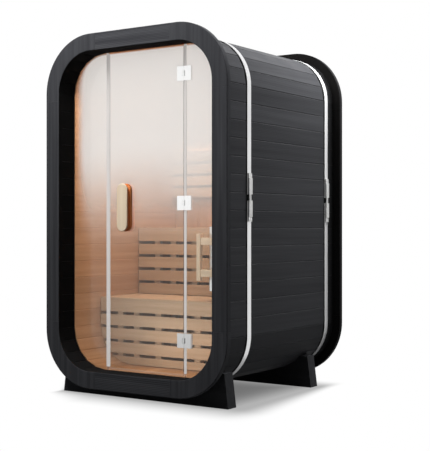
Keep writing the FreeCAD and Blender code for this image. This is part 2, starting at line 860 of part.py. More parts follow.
def build_seals():
    """Seals of the fixed panes and of the door."""
    bottom = floor_z + floor_gap
    top = ceiling_z - floor_gap
    fixed = [edge_seal(strike_seam_x - pane_to_strike_seam, -1, strike_seal_web, bottom, top)]
    fixed += [hinge_side_seal(z0, z1) for z0, z1 in stretches_between_hinges(bottom, top)]
    save("fixed_pane_seals", fixed + hinge_gaskets(1))
    door_x0 = strike_seam_x + pane_to_strike_seam
    door_x1 = hinge_axis_x - door_to_hinge_axis
    strike = edge_seal(door_x0, 1, strike_seal_web, door_bottom_z, door_top_z)
    sweep_x0 = door_x0 + seal_leg + groove_clearance
    low = door_bottom_z - sweep_seal_web
    high = door_bottom_z + sweep_seal_leg
    sweep = box(sweep_x0, door_x1, glass_front_y - seal_wall, glass_back_y + seal_wall, low, high)
    sweep = sweep.cut(box(sweep_x0, door_x1, glass_front_y, glass_back_y, door_bottom_z, high))
    save("door_seals", [strike, sweep] + hinge_gaskets(-1))


# ---------------------------------------------------------------- hinges
def plate_planes():
    """Y range of the front plates and of the back plates."""
    front_back = glass_front_y - hinge_gasket_thickness
    rear_front = glass_back_y + hinge_gasket_thickness
    return (front_back - hinge_plate_thickness, front_back), (rear_front, rear_front + hinge_plate_thickness)


def span_from_axis(side, near, far):
    """X range on one side of the hinge axis."""
    a = hinge_axis_x + side * near
    b = hinge_axis_x + side * far
    return min(a, b), max(a, b)


def hinge_plate(side, y_range, centre_z):
    """Rectangular clamp plate, before its screw hole is drilled."""
    x0, x1 = span_from_axis(side, hinge_plate_to_axis, hinge_plate_reach)
    half = hinge_plate_height / 2.0
    return box(x0, x1, y_range[0], y_range[1], centre_z - half, centre_z + half)


def knuckle_ranges(side):
    """Height ranges of the barrel that belong to one side, from the hinge's middle."""
    middle_half = hinge_knuckle_height / 2.0
    if side < 0:
        return [(-middle_half + hinge_knuckle_gap, middle_half - hinge_knuckle_gap)]
    end = hinge_barrel_height / 2.0
    return [(-end, -middle_half), (middle_half, end)]


def hinge_screw_x(side):
    """X of a clamp screw, in the middle of its plate."""
    return hinge_axis_x + side * (hinge_plate_to_axis + hinge_plate_reach) / 2.0


def barrel_centre(z):
    """Point on the hinge axis."""
    return Vector(hinge_axis_x, hinge_axis_y, z)


def barrel_rod(radius, centre_z, low, high):
    """Cylinder about the hinge axis between two heights from the hinge's middle."""
    return rod(radius, barrel_centre(centre_z + low), barrel_centre(centre_z + high))


def hinge_leaf(side, centre_z):
    """Front plate with its half of the oval recess, core block in the glass notch, necks and knuckles."""
    (front0, front1), _ = plate_planes()
    leaf = hinge_plate(side, (front0, front1), centre_z)
    floor_y = front0 + hinge_recess_depth
    front_y0 = front0 - cut_overshoot
    recess = stadium_along_y(
        hinge_axis_x, centre_z, hinge_recess_width, hinge_recess_height, front_y0, floor_y
    )
    reach = hinge_barrel_height / 2.0 + hinge_knuckle_gap
    room_radius = hinge_barrel_radius + hinge_barrel_clearance
    leaf = leaf.cut(recess).cut(barrel_rod(room_radius, centre_z, -reach, reach))
    x0, x1 = span_from_axis(side, hinge_core_to_axis, hinge_core_reach)
    half = hinge_core_height / 2.0
    core_back = glass_back_y + hinge_gasket_thickness
    leaf = leaf.fuse(box(x0, x1, front1, core_back, centre_z - half, centre_z + half))
    neck_x0, neck_x1 = span_from_axis(side, 0.0, room_radius + hinge_neck_lap)
    for low, high in knuckle_ranges(side):
        leaf = leaf.fuse(barrel_rod(hinge_barrel_radius, centre_z, low, high))
        leaf = leaf.fuse(box(neck_x0, neck_x1, floor_y, front1, centre_z + low, centre_z + high))
    leaf = leaf.cut(barrel_rod(hinge_pin_radius + running_clearance, centre_z, -reach, reach))
    return leaf.cut(screw_hole(side, centre_z)).removeSplitter()


def screw_hole(side, centre_z):
    """Blind hole for a clamp screw, with room for its head in the back plate."""
    (front0, _), (_, back1) = plate_planes()
    x = hinge_screw_x(side)
    tip = Vector(x, front0 + hinge_screw_cover, centre_z)
    seat = Vector(x, back1 - hinge_screw_head_depth, centre_z)
    end = Vector(x, back1 + cut_overshoot, centre_z)
    shank = rod(hinge_screw_radius + screw_clearance, tip, end)
    return shank.fuse(rod(hinge_screw_head_radius + screw_clearance, seat, end))


def hinge_screw(side, centre_z):
    """Clamp screw, put in from the back, with a socket in its head."""
    (front0, _), (_, back1) = plate_planes()
    x = hinge_screw_x(side)
    tip = Vector(x, front0 + hinge_screw_cover, centre_z)
    seat = Vector(x, back1 - hinge_screw_head_depth, centre_z)
    end = Vector(x, back1, centre_z)
    socket_bottom = Vector(x, back1 - hinge_socket_depth, centre_z)
    screw = rod(hinge_screw_radius, tip, seat).fuse(rod(hinge_screw_head_radius, seat, end))
    return screw.cut(rod(hinge_socket_radius, socket_bottom, end))


def hinge_pin(centre_z):
    """Pin through the whole barrel."""
    reach = hinge_barrel_height / 2.0
    return barrel_rod(hinge_pin_radius, centre_z, -reach, reach)


def build_hinges():
    """Three hinges, split between the fixed pane and the door."""
    _, back_range = plate_planes()
    for name, side in (("fixed", 1), ("door", -1)):
        save(name + "_hinge_leaves", [hinge_leaf(side, z) for z in hinge_heights])
        plates = [hinge_plate(side, back_range, z).cut(screw_hole(side, z)) for z in hinge_heights]
        save(name + "_hinge_plates", plates)
        save(name + "_hinge_screws", [hinge_screw(side, z) for z in hinge_heights])
    save("hinge_pins", [hinge_pin(z) for z in hinge_heights])


# ---------------------------------------------------------------- handles
def build_handles():
    """Wooden pull outside, wooden pull inside and the bolts that join them through the glass."""
    front = glass_front_y - outer_handle_thickness
    outer = stadium_along_y(handle_x, handle_z, handle_width, handle_height, front, glass_front_y)
    outer = round_edges(outer, handle_edge_round, lambda edge: lies_in_plane(edge, "Y", front))
    groove_y0 = front + finger_groove_start
    groove_y1 = groove_y0 + finger_groove_width
    wide = stadium_along_y(handle_x, handle_z, handle_width * 2.0, handle_height * 2.0, groove_y0, groove_y1)
    core_width = handle_width - 2.0 * finger_groove_depth
    core_height = handle_height - 2.0 * finger_groove_depth
    core = stadium_along_y(handle_x, handle_z, core_width, core_height, groove_y0, groove_y1)
    outer = outer.cut(wide.cut(core))
    back = glass_back_y + inner_handle_thickness
    inner = stadium_along_y(handle_x, handle_z, handle_width, handle_height, glass_back_y, back)
    inner = round_edges(inner, handle_edge_round, lambda edge: lies_in_plane(edge, "Y", back))
    bolts = []
    for z in handle_bolt_zs():
        tip = Vector(handle_x, glass_front_y - handle_bolt_bite, z)
        seat = Vector(handle_x, back - handle_counterbore_depth, z)
        mouth = Vector(handle_x, back + cut_overshoot, z)
        outer = outer.cut(rod(handle_bolt_radius + screw_clearance, tip, Vector(handle_x, glass_front_y, z)))
        inner = inner.cut(rod(handle_bolt_radius + screw_clearance, tip, mouth))
        counterbore_radius = handle_bolt_head_radius + handle_counterbore_clearance
        inner = inner.cut(rod(counterbore_radius, seat, mouth))
        head_end = Vector(handle_x, seat.y + handle_bolt_head_height, z)
        head = rod(handle_bolt_head_radius, seat, head_end)
        socket_start = Vector(handle_x, head_end.y - handle_bolt_socket_depth, z)
        socket = rod(handle_bolt_radius / 2.0, socket_start, head_end)
        bolts.append(rod(handle_bolt_radius, tip, seat).fuse(head).cut(socket))
    save("outer_handle", [outer])
    save("inner_handle", [inner])
    save("handle_bolts", bolts)


# ---------------------------------------------------------------- rear wall and vent
def build_rear_wall():
    """Upright tongued boards held in the stave groove, with a vent slot near the floor."""
    reach = wall_x + rear_wall_groove_depth - groove_clearance
    step = 2.0 * reach / rear_wall_board_count
    edge_inset = inner_inset - rear_wall_groove_depth + groove_clearance
    core = shell_core(edge_inset, rear_wall_front_y, rear_wall_back_y)
    half_width = vent_slot_width / 2.0
    low = vent_z - vent_slot_height / 2.0
    high = vent_z + vent_slot_height / 2.0
    slot_y0 = rear_wall_front_y - cut_overshoot
    slot_y1 = rear_wall_back_y + cut_overshoot
    slot = box(-half_width, half_width, slot_y0, slot_y1, low, high)
    boards = []
    for index in range(rear_wall_board_count):
        x0 = reach - index * step
        x1 = x0 - step
        section = tongued_outline(
            (x0, rear_wall_back_y),
            (x1, rear_wall_back_y),
            (x0, rear_wall_front_y),
            (x1, rear_wall_front_y),
        )
        board = prism_along_z(section, 0.0, overall_height).common(core)
        boards.append(board.cut(slot))
    save("rear_wall_boards", boards)


def build_vent():
    """Outer grille, inner runners and sliding shutter over the vent slot."""
    half_width = vent_slot_width / 2.0
    half_height = vent_slot_height / 2.0
    outer_width = half_width + vent_grille_margin
    outer_height = half_height + vent_grille_margin
    y0 = rear_wall_back_y
    y1 = y0 + vent_grille_thickness
    grille = box(-outer_width, outer_width, y0, y1, vent_z - outer_height, vent_z + outer_height)
    grille = grille.cut(box(-half_width, half_width, y0, y1, vent_z - half_height, vent_z + half_height))
    pitch = vent_slot_height / (vent_bar_count + 1)
    for index in range(vent_bar_count):
        low = vent_z - half_height + pitch * (index + 1) - vent_bar_height / 2.0
        grille = grille.fuse(box(-half_width, half_width, y0, y1, low, low + vent_bar_height))
    save("vent_grille", [grille.removeSplitter()])
    save("vent_runners", [vent_runner(side) for side in (-1, 1)])
    save("vent_shutter", [vent_shutter()])


def vent_runner(side):
    """L-shaped strip that guides one edge of the shutter; side is 1 above and -1 below."""
    half_shutter = vent_shutter_height / 2.0 + vent_running_gap
    x0 = -vent_shutter_width / 2.0
    x1 = vent_shutter_travel + vent_shutter_width / 2.0
    y1 = rear_wall_front_y
    y0 = y1 - vent_runner_depth - vent_runner_lip_thickness
    near = vent_z + side * half_shutter
    far = near + side * vent_runner_wall
    lip = near - side * vent_runner_lip
    wall = box(x0, x1, y0, y1, min(near, far), max(near, far))
    cover = box(x0, x1, y0, y0 + vent_runner_lip_thickness, min(lip, far), max(lip, far))
    return wall.fuse(cover).removeSplitter()


def vent_shutter():
    """Shutter board with a round knob, shown slid open."""
    half = vent_shutter_height / 2.0
    x0 = vent_shutter_travel - vent_shutter_width / 2.0
    y1 = rear_wall_front_y - vent_running_gap
    y0 = y1 - vent_shutter_thickness
    board = box(x0, x0 + vent_shutter_width, y0, y1, vent_z - half, vent_z + half)
    knob_end = Vector(vent_shutter_travel, y0 - vent_knob_length, vent_z)
    knob = rod(vent_knob_radius, knob_end, Vector(vent_shutter_travel, y0, vent_z))
    return board.fuse(knob).removeSplitter()


# ---------------------------------------------------------------- benches
def bench_half_width():
    """Half the length of a seat slat."""
    return wall_x - bench_side_gap


def is_long_edge(edge, axis, value):
    """True for a lengthwise edge of a board, in the plane where one coordinate has the given value."""
    return runs_along(edge, "X") and lies_in_plane(edge, axis, value)


def seat_slats(y0, y1, top_z):
    """Seat slats across the room between two Y planes."""
    width = (y1 - y0 - seat_slat_gap * (seat_slat_count - 1)) / seat_slat_count
    half = bench_half_width()
    slats = []
    for index in range(seat_slat_count):
        start = y0 + index * (width + seat_slat_gap)
        slat = box(-half, half, start, start + width, top_z - seat_thickness, top_z)
        slats.append(round_edges(slat, seat_edge_round, lambda edge: is_long_edge(edge, "Z", top_z)))
    return slats


def skirt_boards(y0, top_z):
    """Boards across the front of a bench, trimmed to the shell's rounded corners."""
    room = interior(bench_side_gap)
    half = bench_half_width()
    boards = []
    for index in range(skirt_board_count):
        high = top_z - seat_thickness - index * (skirt_board_height + skirt_board_gap)
        low = high - skirt_board_height
        board = box(-half, half, y0, y0 + skirt_board_thickness, low, high)
        boards.append(board.common(room))
    return boards


def bench_frame(y0, y1, top_z, post_bottom):
    """Posts behind the skirt, bearers under the slats and ledgers on the side walls."""
    room = interior(floor_gap)
    post_y = y0 + skirt_board_thickness
    bearer_top = top_z - seat_thickness
    bearer_bottom = bearer_top - bench_bearer_height
    pieces = []
    for x in bench_support_xs:
        x0 = x - bench_support_width / 2.0
        x1 = x + bench_support_width / 2.0
        post = box(x0, x1, post_y, post_y + bench_support_thickness, post_bottom, bearer_top)
        pieces.append(post.common(room))
        pieces.append(box(x0, x1, post_y + bench_support_thickness, y1, bearer_bottom, bearer_top))
    ledger_y = post_y + bench_support_thickness
    for side in (-1, 1):
        near = side * wall_x
        far = near - side * bench_ledger_thickness
        low = bearer_top - bench_ledger_height
        pieces.append(box(min(near, far), max(near, far), ledger_y, y1, low, bearer_top))
    return pieces


def build_benches():
    """Lower and upper tier with their skirts and frames."""
    lower_y1 = upper_bench_y - bench_joint_gap
    save("lower_bench_slats", seat_slats(lower_bench_y, lower_y1, lower_seat_height))
    save("lower_bench_skirt", skirt_boards(lower_bench_y, lower_seat_height))
    save("lower_bench_frame", bench_frame(lower_bench_y, lower_y1, lower_seat_height, 0.0))
    save("upper_bench_slats", seat_slats(upper_bench_y, rear_wall_front_y, upper_seat_height))
    save("upper_bench_skirt", skirt_boards(upper_bench_y, upper_seat_height))
    save("upper_bench_frame", bench_frame(upper_bench_y, rear_wall_front_y, upper_seat_height, 0.0))


# ---------------------------------------------------------------- backrest and light
def backrest_top():
    """Top of the highest backrest board."""
    rows = backrest_board_count
    return backrest_bottom + rows * backrest_board_height + (rows - 1) * backrest_board_gap


def build_backrest():
    """Backrest boards on upright supports, with a light strip along the top."""
    support_y0 = rear_wall_front_y - backrest_support_depth
    board_y0 = support_y0 - backrest_board_thickness
    half = bench_half_width()
    boards = []
    for index in range(backrest_board_count):
        low = backrest_bottom + index * (backrest_board_height + backrest_board_gap)
        board = box(-half, half, board_y0, support_y0, low, low + backrest_board_height)
        boards.append(round_edges(board, seat_edge_round, lambda edge: is_long_edge(edge, "Y", board_y0)))
    supports = []
    for x in backrest_support_xs:
        x0 = x - backrest_support_width / 2.0
        x1 = x + backrest_support_width / 2.0
        supports.append(box(x0, x1, support_y0, rear_wall_front_y, backrest_bottom, backrest_top()))
    save("backrest_boards", boards)
    save("backrest_supports", supports)
    middle_y = rear_wall_front_y - backrest_support_depth / 2.0
    y0 = middle_y - light_channel_width / 2.0
    y1 = middle_y + light_channel_width / 2.0
    z0 = backrest_top()
    z1 = z0 + light_channel_height
    wall = light_channel_wall
    reach = wall_x - light_end_gap
    channel = box(-reach, reach, y0, y1, z0, z1)
    channel = channel.cut(box(-reach, reach, y0 + wall, y1 - wall, z0 + wall, z1))
    gap = wall + light_diffuser_clearance
    diffuser = box(-reach, reach, y0 + gap, y1 - gap, z0 + wall, z1)
    save("light_channel", [channel])
    save("light_diffuser", [diffuser])


# ---------------------------------------------------------------- heater
def knob_ys():
    """Y of the timer knob and of the thermostat knob."""
    return (heater_middle_y - knob_spacing / 2.0, heater_middle_y + knob_spacing / 2.0)


def element_ys():
    """Y of each heating element."""
    first = heater_middle_y - heater_element_pitch * (heater_element_count - 1) / 2.0
    return [first + index * heater_element_pitch for index in range(heater_element_count)]


def heater_casing():
    """Sheet casing, open at the top for the stones and at the bottom for air."""
    casing = box(heater_left_x, heater_right_x, heater_front_y, heater_rear_y, heater_bottom, heater_top)
    casing = round_edges(casing, heater_edge_round, lambda edge: runs_along(edge, "Z"))
    x0 = heater_left_x + heater_sheet
    x1 = heater_right_x - heater_sheet
    y0 = heater_front_y + heater_sheet
    y1 = heater_rear_y - heater_sheet
    casing = casing.cut(box(x0, x1, y0, y1, heater_deck_z + heater_sheet, heater_top + cut_overshoot))
    casing = casing.cut(box(x0, x1, y0, y1, heater_bottom - cut_overshoot, heater_deck_z))
    outside_x = heater_left_x - cut_overshoot
    inside_x = x0 + cut_overshoot
    slot_y0 = heater_middle_y - heater_slot_length / 2.0
    for index in range(heater_slot_count):
        low = heater_bottom + heater_first_slot_rise + index * heater_slot_pitch
        high = low + heater_slot_height
        casing = casing.cut(box(outside_x, inside_x, slot_y0, slot_y0 + heater_slot_length, low, high))
    for y in knob_ys():
        start = Vector(outside_x, y, knob_z)
        end = Vector(inside_x, y, knob_z)
        casing = casing.cut(rod(knob_shaft_radius + running_clearance, start, end))
    for y in element_ys():
        for x in element_leg_xs():
            hole_bottom = Vector(x, y, heater_deck_z - cut_overshoot)
            hole_top = Vector(x, y, heater_deck_z + heater_sheet + cut_overshoot)
            casing = casing.cut(rod(heater_element_radius + screw_clearance, hole_bottom, hole_top))
    return casing


def element_leg_xs():
    """X of the two legs of a heating element."""
    middle_x = (heater_left_x + heater_right_x) / 2.0
    return (middle_x - heater_element_spread / 2.0, middle_x + heater_element_spread / 2.0)


def heater_element(y):
    """Hairpin tube: two upright legs joined by a half turn."""
    left_x, right_x = element_leg_xs()
    foot_z = heater_deck_z - heater_element_foot
    top_z = grate_z - grate_bar_radius - heater_element_clearance
    bend_z = top_z - heater_element_spread / 2.0 - heater_element_radius
    legs = [rod(heater_element_radius, Vector(x, y, foot_z), Vector(x, y, bend_z)) for x in (left_x, right_x)]
    centre = Vector((left_x + right_x) / 2.0, y, bend_z)
    ring = Part.makeTorus(heater_element_spread / 2.0, heater_element_radius, centre, Vector(0, 1, 0))
    reach = heater_element_spread
    upper = box(centre.x - reach, centre.x + reach, y - reach, y + reach, bend_z, bend_z + reach)
    return ring.common(upper).fuse(legs).removeSplitter()


def stone_pitch(low, high, count):
    """Room for one stone in a row between two walls of the casing."""
    return (high - low - 2.0 * (heater_sheet + stone_side_gap)) / count


def stone_centres(low, high, count):
    """Middles of a row of stones between two walls of the casing."""
    start = low + heater_sheet + stone_side_gap
    return [start + stone_pitch(low, high, count) * (index + 0.5) for index in range(count)]


def stone_grate():
    """Round bars under each column of stones, tied by two cross bars."""
    x0 = heater_left_x + heater_sheet
    x1 = heater_right_x - heater_sheet
    y0 = heater_front_y + heater_sheet
    y1 = heater_rear_y - heater_sheet
    bars = []
    for x in stone_centres(heater_left_x, heater_right_x, stone_columns):
        bars.append(rod(grate_bar_radius, Vector(x, y0, grate_z), Vector(x, y1, grate_z)))
    ties = []
    for y in (heater_middle_y - heater_width / 4.0, heater_middle_y + heater_width / 4.0):
        ties.append(rod(grate_bar_radius, Vector(x0, y, grate_z), Vector(x1, y, grate_z)))
    return bars[0].fuse(bars[1:] + ties).removeSplitter()


def stone_course(x, y, base_z, index):
    """Chamfered block and its top; its index shortens it, so that no two neighbours match."""
    room_x = stone_pitch(heater_left_x, heater_right_x, stone_columns)
    room_y = stone_pitch(heater_front_y, heater_rear_y, stone_rows)
    half_length = (room_x - stone_gap - stone_length_step * (index % 3)) / 2.0
    half_width = (room_y - stone_gap - stone_width_step * ((index + 1) % 3)) / 2.0
    top_z = base_z + stone_height - stone_height_step * (index % 2)
    block = box(x - half_length, x + half_length, y - half_width, y + half_width, base_z, top_z)
    return block.makeChamfer(stone_chamfer, block.Edges), top_z


def heater_stones():
    """Two layers of stones on the grate."""
    stones = []
    for column, x in enumerate(stone_centres(heater_left_x, heater_right_x, stone_columns)):
        for row, y in enumerate(stone_centres(heater_front_y, heater_rear_y, stone_rows)):
            index = column * stone_rows + row
            lower, lower_top = stone_course(x, y, grate_z + grate_bar_radius, index)
            upper, _ = stone_course(x, y, lower_top, index + 1)
            stones += [lower, upper]
    return stones


def heater_knob(y):
    """Control knob with a pointer ridge and a shaft through the casing."""
    face_x = heater_left_x - knob_standoff
    end_x = face_x - knob_length
    body = rod(knob_radius, Vector(face_x, y, knob_z), Vector(end_x, y, knob_z))
    body = round_edges(body, knob_pointer_width / 2.0, lambda edge: lies_in_plane(edge, "X", end_x))
    ridge_x0 = end_x - knob_pointer_width
    ridge_y0 = y - knob_pointer_width / 2.0
    ridge_top = knob_z + knob_radius - knob_pointer_width
    ridge_x1 = end_x + knob_pointer_width
    ridge_y1 = ridge_y0 + knob_pointer_width
    ridge = box(ridge_x0, ridge_x1, ridge_y0, ridge_y1, knob_z, ridge_top)
    shaft_end = Vector(heater_left_x + knob_shaft_length, y, knob_z)
    shaft = rod(knob_shaft_radius, Vector(end_x, y, knob_z), shaft_end)
    return body.fuse([ridge, shaft]).removeSplitter()


def heater_gland():
    """Cable gland under the back edge of the casing's deck."""
    x = heater_right_x - heater_sheet - gland_inset
    y = heater_rear_y - heater_sheet - gland_inset
    bottom = Vector(x, y, heater_deck_z - gland_length)
    top = Vector(x, y, heater_deck_z)
    return rod(gland_radius, bottom, top).cut(rod(gland_bore_radius, bottom, top))


def build_heater():
    """Wall-hung electric heater with its stones and controls."""
    save("heater_casing", [heater_casing()])
    save("heater_elements", [heater_element(y) for y in element_ys()])
    save("heater_stone_grate", [stone_grate()])
    save("heater_stones", heater_stones())
    half = heater_bracket_width / 2.0
    low = (heater_bottom + heater_top - heater_bracket_height) / 2.0
    y0 = heater_middle_y - half
    bracket = box(heater_right_x, wall_x, y0, y0 + heater_bracket_width, low, low + heater_bracket_height)
    save("heater_bracket", [bracket])
    save("heater_gland", [heater_gland()])
    for name, y in zip(("timer_knob", "thermostat_knob"), knob_ys()):
        save(name, [heater_knob(y)])


def build_guard():
    """Wooden guard: front and side rails on three posts."""
    size = guard_post_size
    top = guard_post_bottom + guard_post_height
    inner_x0 = guard_inner_face_x - size
    rear_post_y = upper_bench_y - size
    posts = [
        box(inner_x0, guard_inner_face_x, guard_front_y, guard_front_y + size, guard_post_bottom, top),
        box(inner_x0, guard_inner_face_x, rear_post_y, upper_bench_y, guard_post_bottom, top),
        box(wall_x - size, wall_x, guard_front_y, guard_front_y + size, guard_post_bottom, top),
    ]
    inset = (size - guard_rail_thickness) / 2.0
    rails = []
    for low in guard_rail_bottoms:
        high = low + guard_rail_height
        y0 = guard_front_y + inset
        rails.append(box(guard_inner_face_x, wall_x - size, y0, y0 + guard_rail_thickness, low, high))
        x0 = inner_x0 + inset
        rails.append(box(x0, x0 + guard_rail_thickness, guard_front_y + size, rear_post_y, low, high))
    save("guard_posts", posts)
    save("guard_rails", rails)


def main():
    """Build and write every node."""
    os.makedirs("parts", exist_ok=True)
    build_shell()
    build_ring("front", front_y, shell_front_y, front_y)
    build_ring("rear", shell_rear_y, rear_y, rear_y)
    build_cradles()
    build_bands()
    build_panes()
    build_seals()
    build_hinges()
    build_handles()
    build_rear_wall()
    build_vent()
    build_benches()
    build_backrest()
    build_heater()
    build_guard()


main()
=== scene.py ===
"""Looks of the portable steam sauna: black boarded cabin, glass front, warm room, studio.

Metres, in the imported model's frame: +Z up, the glass front faces -Y and +X is to its right.
"""

import itertools
import logging
import math
import random
from collections.abc import Callable
from dataclasses import dataclass
from enum import Enum

import bmesh
import bpy
from mathutils import Matrix, Vector, noise


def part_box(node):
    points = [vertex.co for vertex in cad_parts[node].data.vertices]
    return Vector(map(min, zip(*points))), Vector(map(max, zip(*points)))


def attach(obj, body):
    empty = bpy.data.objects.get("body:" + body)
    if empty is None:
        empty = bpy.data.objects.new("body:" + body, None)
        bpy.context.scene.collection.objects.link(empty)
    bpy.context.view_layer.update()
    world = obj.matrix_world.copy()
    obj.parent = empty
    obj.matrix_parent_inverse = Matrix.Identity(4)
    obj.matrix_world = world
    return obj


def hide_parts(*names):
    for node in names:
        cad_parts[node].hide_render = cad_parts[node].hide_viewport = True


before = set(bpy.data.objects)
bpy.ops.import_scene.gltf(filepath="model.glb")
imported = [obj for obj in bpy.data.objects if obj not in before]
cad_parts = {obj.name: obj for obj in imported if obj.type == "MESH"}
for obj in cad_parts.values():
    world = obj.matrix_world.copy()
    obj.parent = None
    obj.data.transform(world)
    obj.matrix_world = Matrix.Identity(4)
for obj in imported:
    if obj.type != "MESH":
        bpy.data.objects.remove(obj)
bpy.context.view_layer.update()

LOG = logging.getLogger("sauna")

Colour = tuple[float, float, float]
Point = tuple[float, float, float]
Socket = bpy.types.NodeSocket
BMesh = bmesh.types.BMesh
Material = bpy.types.Material
Object = bpy.types.Object
Sockets = dict[str, Socket]
ShaderInputs = dict[str, Socket | float | tuple[float, ...]]


class Axis(Enum):
    """A direction of the frame."""

    X = 0
    Y = 1
    Z = 2


class Body(Enum):
    """The bodies that added pieces ride on."""

    CABIN = "cabin"
    DOOR = "door"


# ---- sizes read from the frame
@dataclass(frozen=True)
class ShellSizes:
    """Outline of the boarded shell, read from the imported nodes."""

    half_width: float
    bottom: float
    top: float
    ring_radius: float = 0.350
    overhang: float = 0.056
    stave: float = 0.044
    side_staves: int = 14
    roof_staves: int = 6
    corner_staves: int = 5

    @classmethod
    def from_frame(cls) -> "ShellSizes":
        """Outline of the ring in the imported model."""
        low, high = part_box("front_ring_corners")
        return cls(half_width=high.x, bottom=low.z, top=high.z)

    @property
    def corner_x(self) -> float:
        """X of the corner centres."""
        return self.half_width - self.ring_radius

    @property
    def middle_z(self) -> float:
        """Height halfway between the corner centres."""
        return (self.bottom + self.top) / 2.0

    @property
    def corner_rise(self) -> float:
        """Height of the upper corner centres above the middle."""
        return (self.top - self.bottom) / 2.0 - self.ring_radius

    @property
    def inner_reach(self) -> float:
        """Distance from the corner centres to the boards' inner faces."""
        return self.ring_radius - self.overhang - self.stave

    @property
    def middle_reach(self) -> float:
        """Distance from the corner centres to the middle of the boards."""
        return self.inner_reach + self.stave / 2.0

    @property
    def wall_pitch(self) -> float:
        """Height of one wall board."""
        return 2.0 * self.corner_rise / self.side_staves

    @property
    def roof_pitch(self) -> float:
        """Width of one roof board."""
        return 2.0 * self.corner_x / self.roof_staves


SHELL = ShellSizes.from_frame()


def glass_face() -> float:
    """Y of the panes' outer face."""
    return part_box("door_glass_pane")[0].y


# ---- node graphs
class Graph:
    """A node tree with short calls that add and wire its nodes."""

    def __init__(self, tree: bpy.types.NodeTree) -> None:
        """Wrap a shader tree."""
        self.tree = tree

    def add(self, kind: str, inputs: dict | None = None, **settings: object) -> bpy.types.Node:
        """Add one node.

        Args:
            kind: Blender's type name, without the ShaderNode prefix.
            inputs: Socket name or index to a value or to another node's output.
            settings: Properties of the node.

        Returns:
            The new node.
        """
        node = self.tree.nodes.new("ShaderNode" + kind)
        for name, value in settings.items():
            setattr(node, name, value)
        for key, value in (inputs or {}).items():
            if isinstance(value, Socket):
                self.tree.links.new(value, node.inputs[key])
            else:
                node.inputs[key].default_value = value
        return node

    def math(self, operation: str, *values: Socket | float) -> Socket:
        """Result of a math node, from Blender's name of the operation and its inputs in order."""
        return self.add("Math", dict(enumerate(values)), operation=operation).outputs[0]

    def times(self, first: Socket | float, second: Socket | float) -> Socket:
        """Product of two values."""
        return self.math("MULTIPLY", first, second)

    def minus(self, first: Socket | float, second: Socket | float) -> Socket:
        """First value less the second."""
        return self.math("SUBTRACT", first, second)

    def most(self, first: Socket | float, second: Socket | float) -> Socket:
        """Larger of two values."""
        return self.math("MAXIMUM", first, second)

    def above(self, value: Socket, limit: Socket | float) -> Socket:
        """1 where a value is above a limit, and 0 elsewhere."""
        return self.math("GREATER_THAN", value, limit)

    def below(self, value: Socket, limit: Socket | float) -> Socket:
        """1 where a value is below a limit, and 0 elsewhere."""
        return self.math("LESS_THAN", value, limit)

    def position(self) -> Socket:
        """Place in the object's own frame, which travels with its body."""
        return self.add("TexCoord").outputs["Object"]

    def along(self, axis: Axis) -> Socket:
        """Place turned so that its X runs along an axis.

        Args:
            axis: The axis that comes first.

        Returns:
            The turned vector.
        """
        parts = self.split(self.position())
        others = [part for index, part in enumerate(parts) if index != axis.value]
        return self.join(parts[axis.value], *others)

    def split(self, vector: Socket) -> tuple[Socket, Socket, Socket]:
        """X, Y and Z of a vector."""
        outputs = self.add("SeparateXYZ", {0: vector}).outputs
        return outputs[0], outputs[1], outputs[2]

    def join(self, x: Socket | float, y: Socket | float, z: Socket | float) -> Socket:
        """Vector from its parts."""
        return self.add("CombineXYZ", {0: x, 1: y, 2: z}).outputs[0]

    def scaled(self, vector: Socket, scale: Point) -> Socket:
        """Vector multiplied part by part."""
        return self.add("VectorMath", {0: vector, 1: scale}, operation="MULTIPLY").outputs[0]

    def shifted(self, vector: Socket, offset: Socket) -> Socket:
        """Vector moved along all three axes by one value."""
        return self.add("VectorMath", {0: vector, 1: offset}, operation="ADD").outputs[0]

    def noise(self, vector: Socket, scale: float, detail: float = 2.0) -> Socket:
        """Cloudy value from 0 to 1."""
        inputs = {"Vector": vector, "Scale": scale, "Detail": detail}
        return self.add("TexNoise", inputs).outputs[0]

    def smooth(
        self, value: Socket, low: float, high: float, start: float = 0.0, end: float = 1.0
    ) -> Socket:
        """Smooth step from start, where the value is low, to end, where it is high."""
        inputs = {0: value, 1: low, 2: high, 3: start, 4: end}
        return self.add("MapRange", inputs, interpolation_type="SMOOTHSTEP").outputs[0]

    def ranged(self, value: Socket, low: float, high: float, start: float, end: float) -> Socket:
        """Straight step from start, where the value is low, to end, where it is high."""
        return self.add("MapRange", {0: value, 1: low, 2: high, 3: start, 4: end}).outputs[0]

    def linear(self, value: Socket, low: float, high: float) -> Socket:
        """Value from 0 to 1 mapped to a range."""
        return self.ranged(value, 0.0, 1.0, low, high)

    def around(self, value: Socket, middle: float, spread: float) -> Socket:
        """Value from 0 to 1 mapped to as far below and above a middle."""
        return self.linear(value, middle - spread, middle + spread)

    def blend(self, share: Socket, first: Socket | Colour, second: Socket | Colour) -> Socket:
        """Colour between two colours."""
        inputs = {0: share, 6: rgba(first), 7: rgba(second)}
        return self.add("Mix", inputs, data_type="RGBA").outputs[2]

    def tint(self, colour: Socket, value: Socket, strength: float) -> Socket:
        """Colour made lighter or darker by a value whose middle is 0.5."""
        return self.dimmed(colour, self.around(value, 1.0, strength))

    def dimmed(self, colour: Socket, share: Socket) -> Socket:
        """Colour multiplied by a share."""
        return self.add("VectorMath", {0: colour, "Scale": share}, operation="SCALE").outputs[0]

    def bump(self, height: Socket, depth: float, strength: float = 1.0) -> Socket:
        """Normal from a height of 0 to 1 that stands for a depth in metres."""
        inputs = {"Strength": strength, "Distance": depth, "Height": height}
        return self.add("Bump", inputs).outputs[0]


def rgba(value: Socket | Colour) -> Socket | tuple[float, ...]:
    """Colour with an alpha of 1, or a socket as it is."""
    return value if isinstance(value, Socket) else (*value, 1.0)


